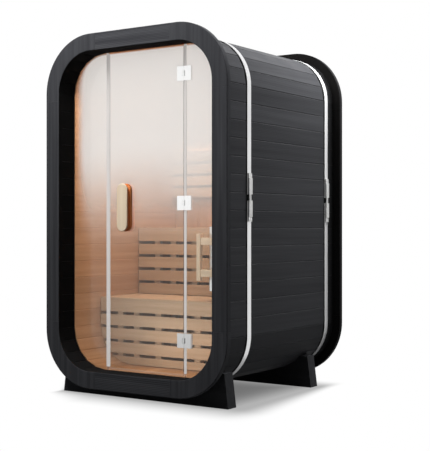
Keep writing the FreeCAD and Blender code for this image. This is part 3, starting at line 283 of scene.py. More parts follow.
@dataclass(frozen=True)
class Effect:
    """A shared shader effect, built once as a node group and placed in many materials.

    Its inputs and outputs are plain values, apart from one that is named Vector.
    """

    name: str
    inputs: tuple[str, ...]
    outputs: tuple[str, ...]
    body: Callable[[Graph, Sockets], Sockets]

    def tree(self) -> bpy.types.NodeTree:
        """Node group of the effect, made at its first use.

        Returns:
            The group's tree.
        """
        found = bpy.data.node_groups.get(self.name)
        if found:
            return found
        tree = bpy.data.node_groups.new(self.name, "ShaderNodeTree")
        for way, names in (("INPUT", self.inputs), ("OUTPUT", self.outputs)):
            for name in names:
                kind = "NodeSocketVector" if name == "Vector" else "NodeSocketFloat"
                tree.interface.new_socket(name, in_out=way, socket_type=kind)
        entry = tree.nodes.new("NodeGroupInput")
        leave = tree.nodes.new("NodeGroupOutput")
        made = self.body(Graph(tree), {name: entry.outputs[name] for name in self.inputs})
        for name, socket in made.items():
            tree.links.new(socket, leave.inputs[name])
        return tree

    def place(self, graph: Graph, **inputs: Socket | float) -> bpy.types.NodeOutputs:
        """Outputs of the effect in a material, for values or sockets as its inputs."""
        return graph.add("Group", inputs, node_tree=self.tree()).outputs


SEED_SPREAD = 7.31
RINGS_PER_METRE = 150.0
RING_DRIFT = 7.0
RING_SLANT = 0.7
RING_RELIEF = 0.35
FIBRE_RELIEF = 0.65


def grain_body(graph: Graph, given: Sockets) -> Sockets:
    """Growth rings, fibres and relief of sawn softwood that runs along the vector's X.

    Args:
        graph: The group's graph.
        given: The group's inputs by name.

    Returns:
        The group's outputs by name.
    """
    vector = graph.shifted(given["Vector"], graph.times(given["Seed"], SEED_SPREAD))
    _, across, through = graph.split(vector)
    drift = graph.noise(graph.scaled(vector, (0.45, 3.0, 3.0)), 1.0)
    slant = graph.math("MULTIPLY_ADD", through, RING_SLANT, across)
    shift = graph.times(drift, RING_DRIFT)
    phase = graph.math("MULTIPLY_ADD", slant, RINGS_PER_METRE, shift)
    wave = graph.math("SINE", graph.times(phase, math.tau))
    rings = graph.smooth(wave, -0.8, 1.0)
    fibre = graph.noise(graph.scaled(vector, (6.0, 420.0, 420.0)), 1.0, 3.0)
    streak = graph.noise(graph.scaled(vector, (1.1, 34.0, 34.0)), 1.0, 2.0)
    fine = graph.times(fibre, FIBRE_RELIEF)
    height = graph.math("MULTIPLY_ADD", rings, RING_RELIEF, fine)
    return {"Rings": rings, "Fibre": fibre, "Streak": streak, "Height": height}


GRAIN = Effect(
    "timber_grain", ("Vector", "Seed"), ("Rings", "Fibre", "Streak", "Height"), grain_body
)


def board_body(graph: Graph, given: Sockets) -> Sockets:
    """A fixed random value for each numbered board, and a second one for its tone.

    Args:
        graph: The group's graph.
        given: The group's inputs by name.

    Returns:
        The group's outputs by name.
    """
    seeds = graph.add("TexWhiteNoise", {"W": given["Index"]}, noise_dimensions="1D")
    tone = graph.add("SeparateXYZ", {0: seeds.outputs["Color"]}).outputs[1]
    return {"Seed": seeds.outputs["Value"], "Tone": tone}


BOARD = Effect("board_number", ("Index",), ("Seed", "Tone"), board_body)


ROOF_NUMBERS = 40.0
CORNER_NUMBERS = 80.0
LEFT_RIGHT_STEP = 3.37
SIDE_STEP = 11.3
JOINT_NUMBER = 0.5


def shell_body(graph: Graph, given: Sockets) -> Sockets:
    """Reach from the shell's core, the board's number, and nearness of its joint, 0.5 at most.

    Args:
        graph: The group's graph.
        given: The group's inputs by name.

    Returns:
        The group's outputs by name.
    """
    x, _, z = graph.split(given["Vector"])
    rise = graph.minus(z, SHELL.middle_z)
    beyond_x = graph.minus(graph.math("ABSOLUTE", x), SHELL.corner_x)
    beyond_z = graph.minus(graph.math("ABSOLUTE", rise), SHELL.corner_rise)
    over_x = graph.most(beyond_x, 0.0)
    over_z = graph.most(beyond_z, 0.0)
    square = graph.math("MULTIPLY_ADD", over_x, over_x, graph.times(over_z, over_z))
    within = graph.math("MINIMUM", graph.most(beyond_x, beyond_z), 0.0)
    reach = graph.math("ADD", graph.math("SQRT", square), within)
    turn = graph.math("ARCTAN2", over_z, over_x)
    corner = graph.times(turn, 2.0 * SHELL.corner_staves / math.pi)
    wall = graph.math("DIVIDE", rise, SHELL.wall_pitch)
    roof = graph.math("MULTIPLY_ADD", x, 1.0 / SHELL.roof_pitch, ROOF_NUMBERS)
    is_wall = graph.below(beyond_z, 0.0)
    is_roof = graph.below(beyond_x, 0.0)
    flat = graph.add("Mix", {0: is_wall, 2: roof, 3: wall}).outputs[0]
    is_flat = graph.most(is_wall, is_roof)
    bent = graph.math("ADD", corner, CORNER_NUMBERS)
    along = graph.add("Mix", {0: is_flat, 2: bent, 3: flat}).outputs[0]
    upper = graph.math("SIGN", rise)
    side = graph.math("MULTIPLY_ADD", graph.math("SIGN", x), LEFT_RIGHT_STEP, upper)
    place = graph.math("MULTIPLY_ADD", side, SIDE_STEP, graph.math("FLOOR", along))
    joint = graph.math("ABSOLUTE", graph.minus(graph.math("FRACT", along), JOINT_NUMBER))
    return {"Reach": reach, "Index": place, "Joint": joint}


OUTLINE = Effect("shell_outline", ("Vector",), ("Reach", "Index", "Joint"), shell_body)


def wear_and_highlight_body(graph: Graph, given: Sockets) -> Sockets:
    """Mask of rubbed edges, broken up by noise, and mask of the upper edges on upright faces, where
    a painted highlight goes.

    Args:
        graph: The group's graph.
        given: The group's inputs by name.

    Returns:
        The group's outputs by name.
    """
    rounded = graph.add("Bevel", {"Radius": given["Radius"]}, samples=4).outputs[0]
    flat = graph.add("NewGeometry").outputs["True Normal"]
    facing = graph.add("VectorMath", {0: rounded, 1: flat}, operation="DOT_PRODUCT")
    edge = graph.smooth(facing.outputs["Value"], 0.99, 0.80)
    patches = graph.smooth(graph.noise(graph.position(), 28.0, 3.0), 0.35, 0.70, 0.25, 1.0)
    steep = graph.smooth(graph.split(flat)[2], 0.45, 0.20)
    tilt = graph.minus(graph.split(rounded)[2], graph.split(flat)[2])
    upper = graph.times(graph.smooth(tilt, 0.04, 0.30), steep)
    return {"Mask": graph.times(edge, patches), "Upper": upper}


WEAR_AND_HIGHLIGHT = Effect("edge_wear_and_highlight", ("Radius",), ("Mask", "Upper"), wear_and_highlight_body)


EDGE_SLACK = 0.002
FACING_LIMIT = 0.5
# Share of painted shade on the rear ring's rim.
RIM_SHADE_SHARE = 0.75


def reveal_shade_body(graph: Graph, given: Sockets) -> Sockets:
    """Mask of painted shade on the opening's edge before the glass, and on the rear ring's front
    face and rim.

    Args:
        graph: The group's graph.
        given: The group's inputs by name.

    Returns:
        The group's outputs by name.
    """
    reach = OUTLINE.place(graph, Vector=given["Vector"])["Reach"]
    _, y, _ = graph.split(given["Vector"])
    _, facing, _ = graph.split(graph.add("NewGeometry").outputs["Normal"])
    inner = graph.below(reach, SHELL.inner_reach + EDGE_SLACK)
    before = graph.below(y, given["Glass"])
    edgewise = graph.below(graph.math("ABSOLUTE", facing), FACING_LIMIT)
    opening = graph.times(graph.times(inner, before), edgewise)
    at_rear = graph.above(y, 0.0)
    behind = graph.times(at_rear, graph.below(facing, -FACING_LIMIT))
    outside = graph.above(reach, SHELL.inner_reach + SHELL.stave)
    rim = graph.above(reach, SHELL.ring_radius - EDGE_SLACK)
    rear_rim = graph.times(graph.times(rim, at_rear), RIM_SHADE_SHARE)
    rear = graph.most(graph.times(behind, outside), rear_rim)
    return {"Mask": graph.most(opening, rear)}


REVEAL_SHADE = Effect("dark_reveal_shade", ("Vector", "Glass"), ("Mask",), reveal_shade_body)


def dust_and_top_light_body(graph: Graph, given: Sockets) -> Sockets:
    """Mask of fine dust that settles on faces turned upward, partly a painted lighter top.

    Args:
        graph: The group's graph.
        given: The group's inputs by name.

    Returns:
        The group's outputs by name.
    """
    normal = graph.add("NewGeometry").outputs["Normal"]
    _, _, up = graph.split(normal)
    settled = graph.smooth(up, 0.25, 1.0)
    drifts = graph.smooth(graph.noise(given["Vector"], 6.0, 4.0), 0.30, 0.75)
    return {"Mask": graph.times(settled, drifts)}


DUST_AND_TOP_LIGHT = Effect("settled_dust_and_top_light", ("Vector",), ("Mask",), dust_and_top_light_body)


def brush_body(graph: Graph, given: Sockets) -> Sockets:
    """Fine parallel lines of brushed metal along the vector's X, with broad clouds.

    Args:
        graph: The group's graph.
        given: The group's inputs by name.

    Returns:
        The group's outputs by name.
    """
    lines = graph.noise(graph.scaled(given["Vector"], (9.0, 1400.0, 1400.0)), 1.0, 2.0)
    clouds = graph.noise(given["Vector"], 14.0, 3.0)
    return {"Lines": lines, "Clouds": clouds}


BRUSH = Effect("brushed_lines", ("Vector",), ("Lines", "Clouds"), brush_body)


# ---- finishes
@dataclass(frozen=True)
class Lay:
    """How boards lie in a node: the way their grain runs, and the row that numbers them."""

    grain: Axis
    across: Axis
    pitch: float
    start: float = 0.0

    def coordinates(self, graph: Graph) -> tuple[Socket, Socket]:
        """Place along the grain and the board's number.

        Args:
            graph: The material's graph.

        Returns:
            A vector whose X runs along the grain, and the board's index.
        """
        row = graph.minus(graph.split(graph.position())[self.across.value], self.start)
        return graph.along(self.grain), graph.math("FLOOR", graph.math("DIVIDE", row, self.pitch))


@dataclass(frozen=True)
class SplitLay:
    """Two lays in one node, on either side of a plane or of a pair of mirrored planes."""

    inner: Lay
    outer: Lay
    axis: Axis
    at: float
    mirrored: bool = False
    outer_numbers: float = 50.0

    def coordinates(self, graph: Graph) -> tuple[Socket, Socket]:
        """Place along the grain and the board's number.

        Args:
            graph: The material's graph.

        Returns:
            A vector whose X runs along the grain, and the board's index.
        """
        place = graph.split(graph.position())[self.axis.value]
        if self.mirrored:
            place = graph.math("ABSOLUTE", place)
        beyond = graph.above(place, self.at)
        inner_vector, inner_index = self.inner.coordinates(graph)
        outer_vector, outer_index = self.outer.coordinates(graph)
        vectors = {0: beyond, 4: inner_vector, 5: outer_vector}
        indices = {0: beyond, 2: inner_index, 3: graph.math("ADD", outer_index, self.outer_numbers)}
        vector = graph.add("Mix", vectors, data_type="VECTOR").outputs[1]
        return vector, graph.add("Mix", indices).outputs[0]


def new_material(name: str) -> tuple[Material, Graph]:
    """Empty node material.

    Args:
        name: The material's name.

    Returns:
        The material and its graph.
    """
    material = bpy.data.materials.new(name)
    material.use_nodes = True
    material.node_tree.nodes.clear()
    return material, Graph(material.node_tree)


def close_material(graph: Graph, shader: bpy.types.Node) -> None:
    """Wire the last shader of a graph to the material's output."""
    graph.add("OutputMaterial", {"Surface": shader.outputs[0]})


@dataclass(frozen=True)
class Finish:
    """A procedural material with one Principled shader."""

    name: str

    def sockets(self, graph: Graph) -> ShaderInputs:
        """Shader inputs of the finish.

        Args:
            graph: The material's graph.

        Returns:
            Values and sockets by name.
        """
        raise NotImplementedError

    def material(self) -> Material:
        """Node material of the finish.

        Returns:
            The material.
        """
        material, graph = new_material(self.name)
        close_material(graph, graph.add("BsdfPrincipled", self.sockets(graph)))
        return material


BLACK_SHINE = 0.03
# Settled dust on upward faces, partly painted light that makes the tops lighter.
DUST_AND_TOP_LIGHT_SHARE = 0.08
RING_DUST_AND_TOP_LIGHT_COLOUR = (0.22, 0.21, 0.20)
STAVE_DUST_AND_TOP_LIGHT_COLOUR = (0.24, 0.23, 0.22)
# Painted shade at the opening before the glass and on the rear ring.
REVEAL_SHADE_COLOUR = (0.010, 0.0095, 0.0095)
# Painted shade before the bands and the rear ring, and in the upper joints.
SHADE_COLOUR = (0.006, 0.006, 0.006)
# Painted highlight on the upper edges of the shell boards, where light from above would catch.
LIT_EDGE_COLOUR = (0.22, 0.22, 0.23)
BRIGHT_METAL = (0.95, 0.95, 0.95)
WHITE = (1.0, 1.0, 1.0)


@dataclass(frozen=True)
class TimberTone:
    """Colours of one kind of timber, from its dark rings to its light wood."""

    dark: Colour
    light: Colour
    worn: Colour
    variation: float
    ring_share: float = 0.16
    fibre_share: float = 0.14

    def colour(self, graph: Graph, grain: bpy.types.NodeOutputs, tone: Socket) -> Socket:
        """Colour over the boards.

        Args:
            graph: The material's graph.
            grain: Outputs of the grain effect.
            tone: Random value of the board.

        Returns:
            The colour before wear.
        """
        figure = graph.math("MULTIPLY_ADD", grain["Rings"], -self.ring_share, grain["Streak"])
        base = graph.blend(graph.smooth(figure, 0.10, 0.75), self.dark, self.light)
        fine = graph.tint(base, grain["Fibre"], self.fibre_share)
        return graph.tint(fine, tone, self.variation)


BLACK_TONE = TimberTone(
    (0.038, 0.0385, 0.042), (0.050, 0.051, 0.055), (0.075, 0.075, 0.078), 0.12, 0.10, 0.10
)
RING_TONE = TimberTone(
    (0.030, 0.0305, 0.034), (0.060, 0.061, 0.066), (0.085, 0.085, 0.088), 0.06, 0.30, 0.14
)
WALL_TONE = TimberTone(
    (0.42, 0.24, 0.135), (0.51, 0.31, 0.185), (0.64, 0.42, 0.27), 0.06, 0.10, 0.08
)
BENCH_TONE = TimberTone(
    (0.50, 0.335, 0.215), (0.61, 0.435, 0.295), (0.74, 0.60, 0.46), 0.05, 0.10, 0.10
)
# Painted shade: a darker copy of the bench timber for the upper skirt.
UPPER_SKIRT_SHADE_TONE = TimberTone(
    (0.44, 0.280, 0.168), (0.54, 0.370, 0.235), (0.66, 0.52, 0.38), 0.05, 0.10, 0.10
)
PALE_TONE = TimberTone((0.74, 0.59, 0.42), (0.85, 0.71, 0.53), (0.86, 0.76, 0.60), 0.04, 0.08, 0.08)
DARK_TONE = TimberTone(
    (0.62, 0.19, 0.055), (0.80, 0.28, 0.085), (0.80, 0.40, 0.18), 0.04, 0.10, 0.10
)


@dataclass(frozen=True)
class Timber(Finish):
    """Boards of one timber."""

    tone: TimberTone
    lay: Lay | SplitLay
    roughness: float
    specular: float
    relief: float
    edge_radius: float = 0.003
    dusty_and_top_lit: bool = False
    # Y of the glass, before which the opening's edge gets painted shade.
    shade_before_glass: float | None = None
    wear_share: float = 0.45
    rough_spread: float = 0.10

    def sockets(self, graph: Graph) -> ShaderInputs:
        """Shader inputs of the boards.

        Args:
            graph: The material's graph.

        Returns:
            Values and sockets by name.
        """
        vector, index = self.lay.coordinates(graph)
        board = BOARD.place(graph, Index=index)
        grain = GRAIN.place(graph, Vector=vector, Seed=board["Seed"])
        colour = self.tone.colour(graph, grain, board["Tone"])
        wear_and_highlight = WEAR_AND_HIGHLIGHT.place(graph, Radius=self.edge_radius)["Mask"]
        colour = graph.blend(graph.times(wear_and_highlight, self.wear_share), colour, self.tone.worn)
        # Settled dust on upward faces, partly painted light on the tops.
        if self.dusty_and_top_lit:
            dust_and_top_light = DUST_AND_TOP_LIGHT.place(graph, Vector=graph.position())["Mask"]
            colour = graph.blend(graph.times(dust_and_top_light, DUST_AND_TOP_LIGHT_SHARE), colour, RING_DUST_AND_TOP_LIGHT_COLOUR)
        rough = graph.around(grain["Fibre"], self.roughness, self.rough_spread)
        # Painted shade on the opening's edge and on the rear ring, with no shine.
        if self.shade_before_glass is not None:
            reveal_shade = REVEAL_SHADE.place(graph, Vector=graph.position(), Glass=self.shade_before_glass)["Mask"]
            colour = graph.blend(reveal_shade, colour, REVEAL_SHADE_COLOUR)
            rough = graph.most(rough, reveal_shade)
        return {
            "Base Color": colour,
            "Roughness": rough,
            "Specular IOR Level": self.specular,
            "Normal": graph.bump(grain["Height"], self.relief),
        }


@dataclass(frozen=True)
class TwoToneTimber(Finish):
    """Timber of one tone up to an upright plane across Y, and of another beyond it."""

    lay: Lay
    joint: float
    before: TimberTone
    beyond: TimberTone
    roughness: float = 0.48
    specular: float = 0.3
    edge_radius: float = 0.004
    wear_share: float = 0.30
    rough_spread: float = 0.08
    relief: float = 0.0003

    def sockets(self, graph: Graph) -> ShaderInputs:
        """Shader inputs of the timber.

        Args:
            graph: The material's graph.

        Returns:
            Values and sockets by name.
        """
        vector, index = self.lay.coordinates(graph)
        board = BOARD.place(graph, Index=index)
        grain = GRAIN.place(graph, Vector=vector, Seed=board["Seed"])
        _, y, _ = graph.split(graph.position())
        far = graph.above(y, self.joint)
        tones = [tone.colour(graph, grain, board["Tone"]) for tone in (self.before, self.beyond)]
        worn = graph.blend(far, self.before.worn, self.beyond.worn)
        wear_and_highlight = WEAR_AND_HIGHLIGHT.place(graph, Radius=self.edge_radius)["Mask"]
        rubbed = graph.times(wear_and_highlight, self.wear_share)
        return {
            "Base Color": graph.blend(rubbed, graph.blend(far, *tones), worn),
            "Roughness": graph.around(grain["Fibre"], self.roughness, self.rough_spread),
            "Specular IOR Level": self.specular,
            "Normal": graph.bump(grain["Height"], self.relief),
        }


@dataclass(frozen=True)
class StaveTimber(Finish):
    """Shell boards, stained black outside and left bare in the room, with painted light and shade.
    """

    room_front: float
    room_rear: float
    band_fronts: tuple[float, float]
    rear_band_end: float
    ring_face: float
    shade_width: float = 0.012
    ring_shade: tuple[float, float] = (0.62, 0.96)
    joint_from: float = 1.60
    joint_full: float = 1.90
    joint_shade: float = 0.8
    joint_line: tuple[float, float] = (0.465, 0.49)
    edge_radius: float = 0.004
    lit_share: float = 0.60
    roughness: tuple[float, float] = (0.46, 0.70)
    relief: float = 0.0004

    def shaded(self, graph: Graph, y: Socket, z: Socket, joint: Socket) -> Socket:
        """Painted shadow lines before the bands, painted shade before the rear ring, and dark joint
        lines high up, partly painted shade.

        Args:
            graph: The material's graph.
            y: Place from front to rear.
            z: Height.
            joint: Nearness of the board's joint.

        Returns:
            The mask.
        """
        beyond = graph.smooth(y, self.rear_band_end, self.ring_face, *self.ring_shade)
        mask = graph.times(graph.above(y, self.rear_band_end), beyond)
        for front in self.band_fronts:
            offset = graph.math("ABSOLUTE", graph.minus(y, front))
            mask = graph.most(mask, graph.below(offset, self.shade_width))
        high = graph.smooth(z, self.joint_from, self.joint_full, 0.0, self.joint_shade)
        line = graph.times(graph.smooth(joint, *self.joint_line), high)
        return graph.most(mask, line)

    def sockets(self, graph: Graph) -> ShaderInputs:
        """Shader inputs of the shell boards.

        Args:
            graph: The material's graph.

        Returns:
            Values and sockets by name.
        """
        place = graph.position()
        x, y, z = graph.split(place)
        outline = OUTLINE.place(graph, Vector=place)
        board = BOARD.place(graph, Index=outline["Index"])
        grain = GRAIN.place(graph, Vector=graph.join(y, x, z), Seed=board["Seed"])
        inside = graph.below(outline["Reach"], SHELL.middle_reach)
        behind_glass = graph.above(y, self.room_front)
        before_wall = graph.below(y, self.room_rear)
        bare = graph.times(inside, graph.times(behind_glass, before_wall))
        # Painted highlight on the upper edges of the upright boards.
        wear_and_highlight = WEAR_AND_HIGHLIGHT.place(graph, Radius=self.edge_radius)["Upper"]
        # Settled dust on upward faces, partly painted light on the tops.
        dust_and_top_light = DUST_AND_TOP_LIGHT.place(graph, Vector=place)["Mask"]
        # Painted shade on the opening's edge before the glass.
        reveal_shade = REVEAL_SHADE.place(graph, Vector=place, Glass=self.room_front)["Mask"]
        stained = BLACK_TONE.colour(graph, grain, board["Tone"])
        lit = graph.times(wear_and_highlight, self.lit_share)
        stained = graph.blend(lit, stained, LIT_EDGE_COLOUR)
        dusted_and_top_lit = graph.times(dust_and_top_light, DUST_AND_TOP_LIGHT_SHARE)
        stained = graph.blend(dusted_and_top_lit, stained, STAVE_DUST_AND_TOP_LIGHT_COLOUR)
        stained = graph.blend(reveal_shade, stained, REVEAL_SHADE_COLOUR)
        # Painted shade before the bands and the rear ring, and in the upper joints.
        shade = self.shaded(graph, y, z, outline["Joint"])
        stained = graph.blend(shade, stained, SHADE_COLOUR)
        natural = WALL_TONE.colour(graph, grain, board["Tone"])
        rough = graph.linear(grain["Fibre"], *self.roughness)
        return {
            "Base Color": graph.blend(bare, stained, natural),
            "Roughness": graph.most(rough, reveal_shade),
            "Specular IOR Level": BLACK_SHINE,
            "Normal": graph.bump(grain["Height"], self.relief),
        }


@dataclass(frozen=True)
class Metal(Finish):
    """Brushed or polished metal."""

    colour: Colour
    dull: Colour
    roughness: float
    lines: float
    brushed_along: Axis
    metallic: float = 1.0
    low_shade_share: float = 1.0
    low_height: float = 0.35
    full_height: float = 1.20
    edge_radius: float = 0.0015
    wear_share: float = 0.35
    line_tint: float = 0.25
    line_relief: float = 0.00006
    base_spread: float = 0.02
    line_spread: float = 0.14

    def sockets(self, graph: Graph) -> ShaderInputs:
        """Shader inputs of the metal, with painted shade darker towards the ground when its low
        share is under 1.

        Args:
            graph: The material's graph.

        Returns:
            Values and sockets by name.
        """
        brush = BRUSH.place(graph, Vector=graph.along(self.brushed_along))
        wear_and_highlight = WEAR_AND_HIGHLIGHT.place(graph, Radius=self.edge_radius)["Mask"]
        dulled = graph.smooth(brush["Clouds"], 0.40, 0.75, 0.0, 0.5)
        colour = graph.blend(dulled, self.colour, self.dull)
        colour = graph.tint(colour, brush["Lines"], self.lines * self.line_tint)
        rubbed = graph.times(wear_and_highlight, self.wear_share)
        colour = graph.blend(rubbed, colour, BRIGHT_METAL)
        # Painted shade: darker towards the ground, which polished metal would mirror.
        if self.low_shade_share < 1.0:
            _, _, z = graph.split(graph.position())
            share = graph.ranged(z, self.low_height, self.full_height, self.low_shade_share, 1.0)
            colour = graph.dimmed(colour, share)
        spread = self.base_spread + self.line_spread * self.lines
        return {
            "Base Color": colour,
            "Metallic": self.metallic,
            "Roughness": graph.linear(brush["Lines"], self.roughness, self.roughness + spread),
            "Normal": graph.bump(brush["Lines"], self.line_relief * self.lines),
        }


@dataclass(frozen=True)
class Moulding(Finish):
    """Moulded plastic or rubber with a fine skin, and a painted glow where one is given."""

    colour: Colour
    worn: Colour
    roughness: float
    skin: float = 0.00008
    # Painted light: emission that makes the moulding glow though it is no lamp.
    painted_glow: Colour = (0.0, 0.0, 0.0)
    clear_below: float | None = None
    clear_fade: float = 0.002
    clear_alpha: float = 0.04
    edge_radius: float = 0.0015
    wear_share: float = 0.5
    rough_spread: float = 0.08

    def sockets(self, graph: Graph) -> ShaderInputs:
        """Shader inputs of the moulding.

        Args:
            graph: The material's graph.

        Returns:
            Values and sockets by name.
        """
        place = graph.position()
        speckle = graph.noise(place, 900.0, 2.0)
        clouds = graph.noise(place, 18.0, 3.0)
        wear_and_highlight = WEAR_AND_HIGHLIGHT.place(graph, Radius=self.edge_radius)["Mask"]
        rubbed = graph.times(wear_and_highlight, self.wear_share)
        colour = graph.tint(graph.blend(rubbed, self.colour, self.worn), clouds, 0.10)
        inputs = {
            "Base Color": colour,
            "Roughness": graph.around(clouds, self.roughness, self.rough_spread),
            "Normal": graph.bump(speckle, self.skin),
            "Emission Color": rgba(self.painted_glow),
            "Emission Strength": 1.0,
        }
        if self.clear_below is not None:
            _, _, z = graph.split(place)
            full = self.clear_below + self.clear_fade
            inputs["Alpha"] = graph.smooth(z, self.clear_below, full, self.clear_alpha, 1.0)
        return inputs


@dataclass(frozen=True)
class ClearGlass(Finish):
    """Toughened glass with faint wipe marks."""

    colour: Colour
    ior: float = 1.30
    shine: Colour = (0.6, 0.6, 0.6)

    def sockets(self, graph: Graph) -> ShaderInputs:
        """Shader inputs of the glass.

        Args:
            graph: The material's graph.

        Returns:
            Values and sockets by name.
        """
        marks = graph.noise(graph.scaled(graph.position(), (2.0, 1.0, 7.0)), 3.0, 3.0)
        return {
            "Base Color": rgba(self.colour),
            "Roughness": graph.smooth(marks, 0.45, 0.85, 0.0, 0.05),
            "IOR": self.ior,
            "Specular Tint": rgba(self.shine),
            "Transmission Weight": 1.0,
        }


@dataclass(frozen=True)
class Mist(Finish):
    """Steam on the inside of the glass: dense near the top, thin low down and at the rim."""

    clear_below: float
    dense_above: float
    low_rim: float
    high_rim: float
    thin: float
    dense: float
    # Painted light: the film's emission strength and tints make it glow though it is no lamp.
    glow: float = 0.61
    waviness: float = 0.10
    roof_gap: float = 0.12
    low_tint: Colour = (0.76, 0.67, 0.61)
    high_tint: Colour = (0.82, 0.765, 0.745)

    def sockets(self, graph: Graph) -> ShaderInputs:
        """Shader inputs of the film.

        Args:
            graph: The material's graph.

        Returns:
            Values and sockets by name.
        """
        place = graph.position()
        _, _, z = graph.split(place)
        drift = graph.noise(graph.scaled(place, (2.0, 1.0, 1.2)), 1.6, 3.0)
        wavy = graph.math("MULTIPLY_ADD", graph.minus(drift, 0.5), self.waviness, z)
        rising = graph.smooth(wavy, self.clear_below, self.dense_above)
        cover = graph.linear(rising, self.thin, self.dense)
        outline = OUTLINE.place(graph, Vector=place)
        to_rim = graph.minus(SHELL.inner_reach, outline["Reach"])
        corner_z = SHELL.middle_z + SHELL.corner_rise
        near_roof = graph.smooth(z, corner_z, SHELL.top - self.roof_gap, 1.0, 0.2)
        rim = graph.times(graph.linear(rising, self.low_rim, self.high_rim), near_roof)
        inner = graph.smooth(graph.math("DIVIDE", to_rim, rim), 0.0, 1.0)
        droplets = graph.noise(place, 520.0, 2.0)
        fine = graph.smooth(droplets, 0.30, 0.70, 0.80, 1.0)
        return {
            "Base Color": graph.blend(droplets, (0.50, 0.46, 0.44), (0.60, 0.56, 0.54)),
            "Roughness": 0.9,
            "Specular IOR Level": 0.0,
            "Alpha": graph.times(graph.times(cover, inner), fine),
            # Painted light: the film glows though it is no lamp.
            "Emission Color": graph.blend(rising, self.low_tint, self.high_tint),
            "Emission Strength": self.glow,
        }


@dataclass(frozen=True)
class Rock(Finish):
    """Dark heater stones with a rough broken face."""

    dark: Colour
    light: Colour
    roughness: tuple[float, float] = (0.72, 0.95)
    speckle: float = 0.35
    relief: float = 0.0025
    vein_relief: float = 0.7
    grit_relief: float = 0.3

    def sockets(self, graph: Graph) -> ShaderInputs:
        """Shader inputs of the stones.

        Args:
            graph: The material's graph.

        Returns:
            Values and sockets by name.
        """
        place = graph.position()
        veins = graph.noise(place, 34.0, 6.0)
        grit = graph.noise(place, 420.0, 4.0)
        colour = graph.blend(graph.smooth(veins, 0.35, 0.70), self.dark, self.light)
        fine = graph.times(grit, self.grit_relief)
        height = graph.math("MULTIPLY_ADD", veins, self.vein_relief, fine)
        return {
            "Base Color": graph.tint(colour, grit, self.speckle),
            "Roughness": graph.linear(grit, *self.roughness),
            "Normal": graph.bump(height, self.relief),
        }


@dataclass(frozen=True)
class Glow(Finish):
    """Frosted lens lit from behind by a row of small lamps."""

    colour: Colour
    strength: float
    lamp_pitch: float = 0.0333
    lamp_colour: Colour = (1.0, 0.86, 0.66)
    unevenness: float = 0.12
    roughness: float = 0.5

    def sockets(self, graph: Graph) -> ShaderInputs:
        """Shader inputs of the lens.

        Args:
            graph: The material's graph.

        Returns:
            Values and sockets by name.
        """
        x, _, _ = graph.split(graph.position())
        wave = graph.math("COSINE", graph.times(x, math.tau / self.lamp_pitch))
        glow = graph.blend(graph.linear(wave, 0.45, 0.55), self.colour, self.lamp_colour)
        glow = graph.tint(glow, wave, self.unevenness)
        return {
            "Base Color": glow,
            "Roughness": self.roughness,
            "Emission Color": glow,
            "Emission Strength": self.strength,
        }


# ---- pieces
def dress(finish: Finish, *nodes: str) -> None:
    """Give carried-over nodes their finish.

    Args:
        finish: What the nodes are made of.
        nodes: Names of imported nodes.
    """
    material = finish.material()
    for node in nodes:
        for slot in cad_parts[node].material_slots:
            slot.material = material
        LOG.info("dressed %s in %s", node, finish.name)


WELD_REACH = 1e-5
FLAT_ANGLE = math.radians(1.0)
SHARP_ANGLE = math.radians(40.0)
BEVEL_STEPS = 2


def soften(width: float, *nodes: str) -> None:
    """Round the sharp edges of carried-over nodes without touching their meshes.

    Args:
        width: Size of the rounding in metres.
        nodes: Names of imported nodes.
    """
    for node in nodes:
        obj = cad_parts[node]
        weld = obj.modifiers.new("weld", "WELD")
        weld.merge_threshold = WELD_REACH
        flatten = obj.modifiers.new("flatten", "DECIMATE")
        flatten.decimate_type = "DISSOLVE"
        flatten.angle_limit = FLAT_ANGLE
        bevel = obj.modifiers.new("bevel", "BEVEL")
        bevel.width = width
        bevel.segments = BEVEL_STEPS
        bevel.limit_method = "ANGLE"
        bevel.angle_limit = SHARP_ANGLE
        bevel.harden_normals = True


def link(name: str, data: bpy.types.ID) -> Object:
    """Put a mesh, a lamp or a camera in the scene.

    Args:
        name: The object's name.
        data: What it shows.

    Returns:
        The object.
    """
    made = bpy.data.objects.new(name, data)
    bpy.context.scene.collection.objects.link(made)
    return made


def mesh_object(name: str, mesh: BMesh, material: Material) -> Object:
    """Put a mesh in the scene.

    Args:
        name: The object's name.
        mesh: Its mesh, which is freed.
        material: Its only material.

    Returns:
        The object.
    """
    data = bpy.data.meshes.new(name)
    mesh.to_mesh(data)
    mesh.free()
    data.materials.append(material)
    return link(name, data)


def add_piece(name: str, mesh: BMesh, finish: Finish, body: Body) -> Object:
    """Make an object from a mesh, dress it and put it on its body.

    Args:
        name: The piece's name.
        mesh: Its mesh, which is freed.
        finish: What it is made of.
        body: The body that it rides on.

    Returns:
        The new object.
    """
    bmesh.ops.recalc_face_normals(mesh, faces=mesh.faces)
    piece = mesh_object(name, mesh, finish.material())
    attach(piece, body.value)
    LOG.info("built %s with %d faces on %s", name, len(piece.data.polygons), body.value)
    return piece


def box_into(mesh: BMesh, low: Point, high: Point, turn: Matrix) -> None:
    """Add a box to a mesh.

    Args:
        mesh: The mesh that grows.
        low: Lowest corner.
        high: Highest corner.
        turn: Where the box is carried after it is made.
    """
    low_corner = Vector(low)
    high_corner = Vector(high)
    made = bmesh.ops.create_cube(mesh, size=1.0)["verts"]
    bmesh.ops.scale(mesh, vec=high_corner - low_corner, verts=made)
    bmesh.ops.translate(mesh, vec=(low_corner + high_corner) / 2.0, verts=made)
    bmesh.ops.transform(mesh, matrix=turn, verts=made)


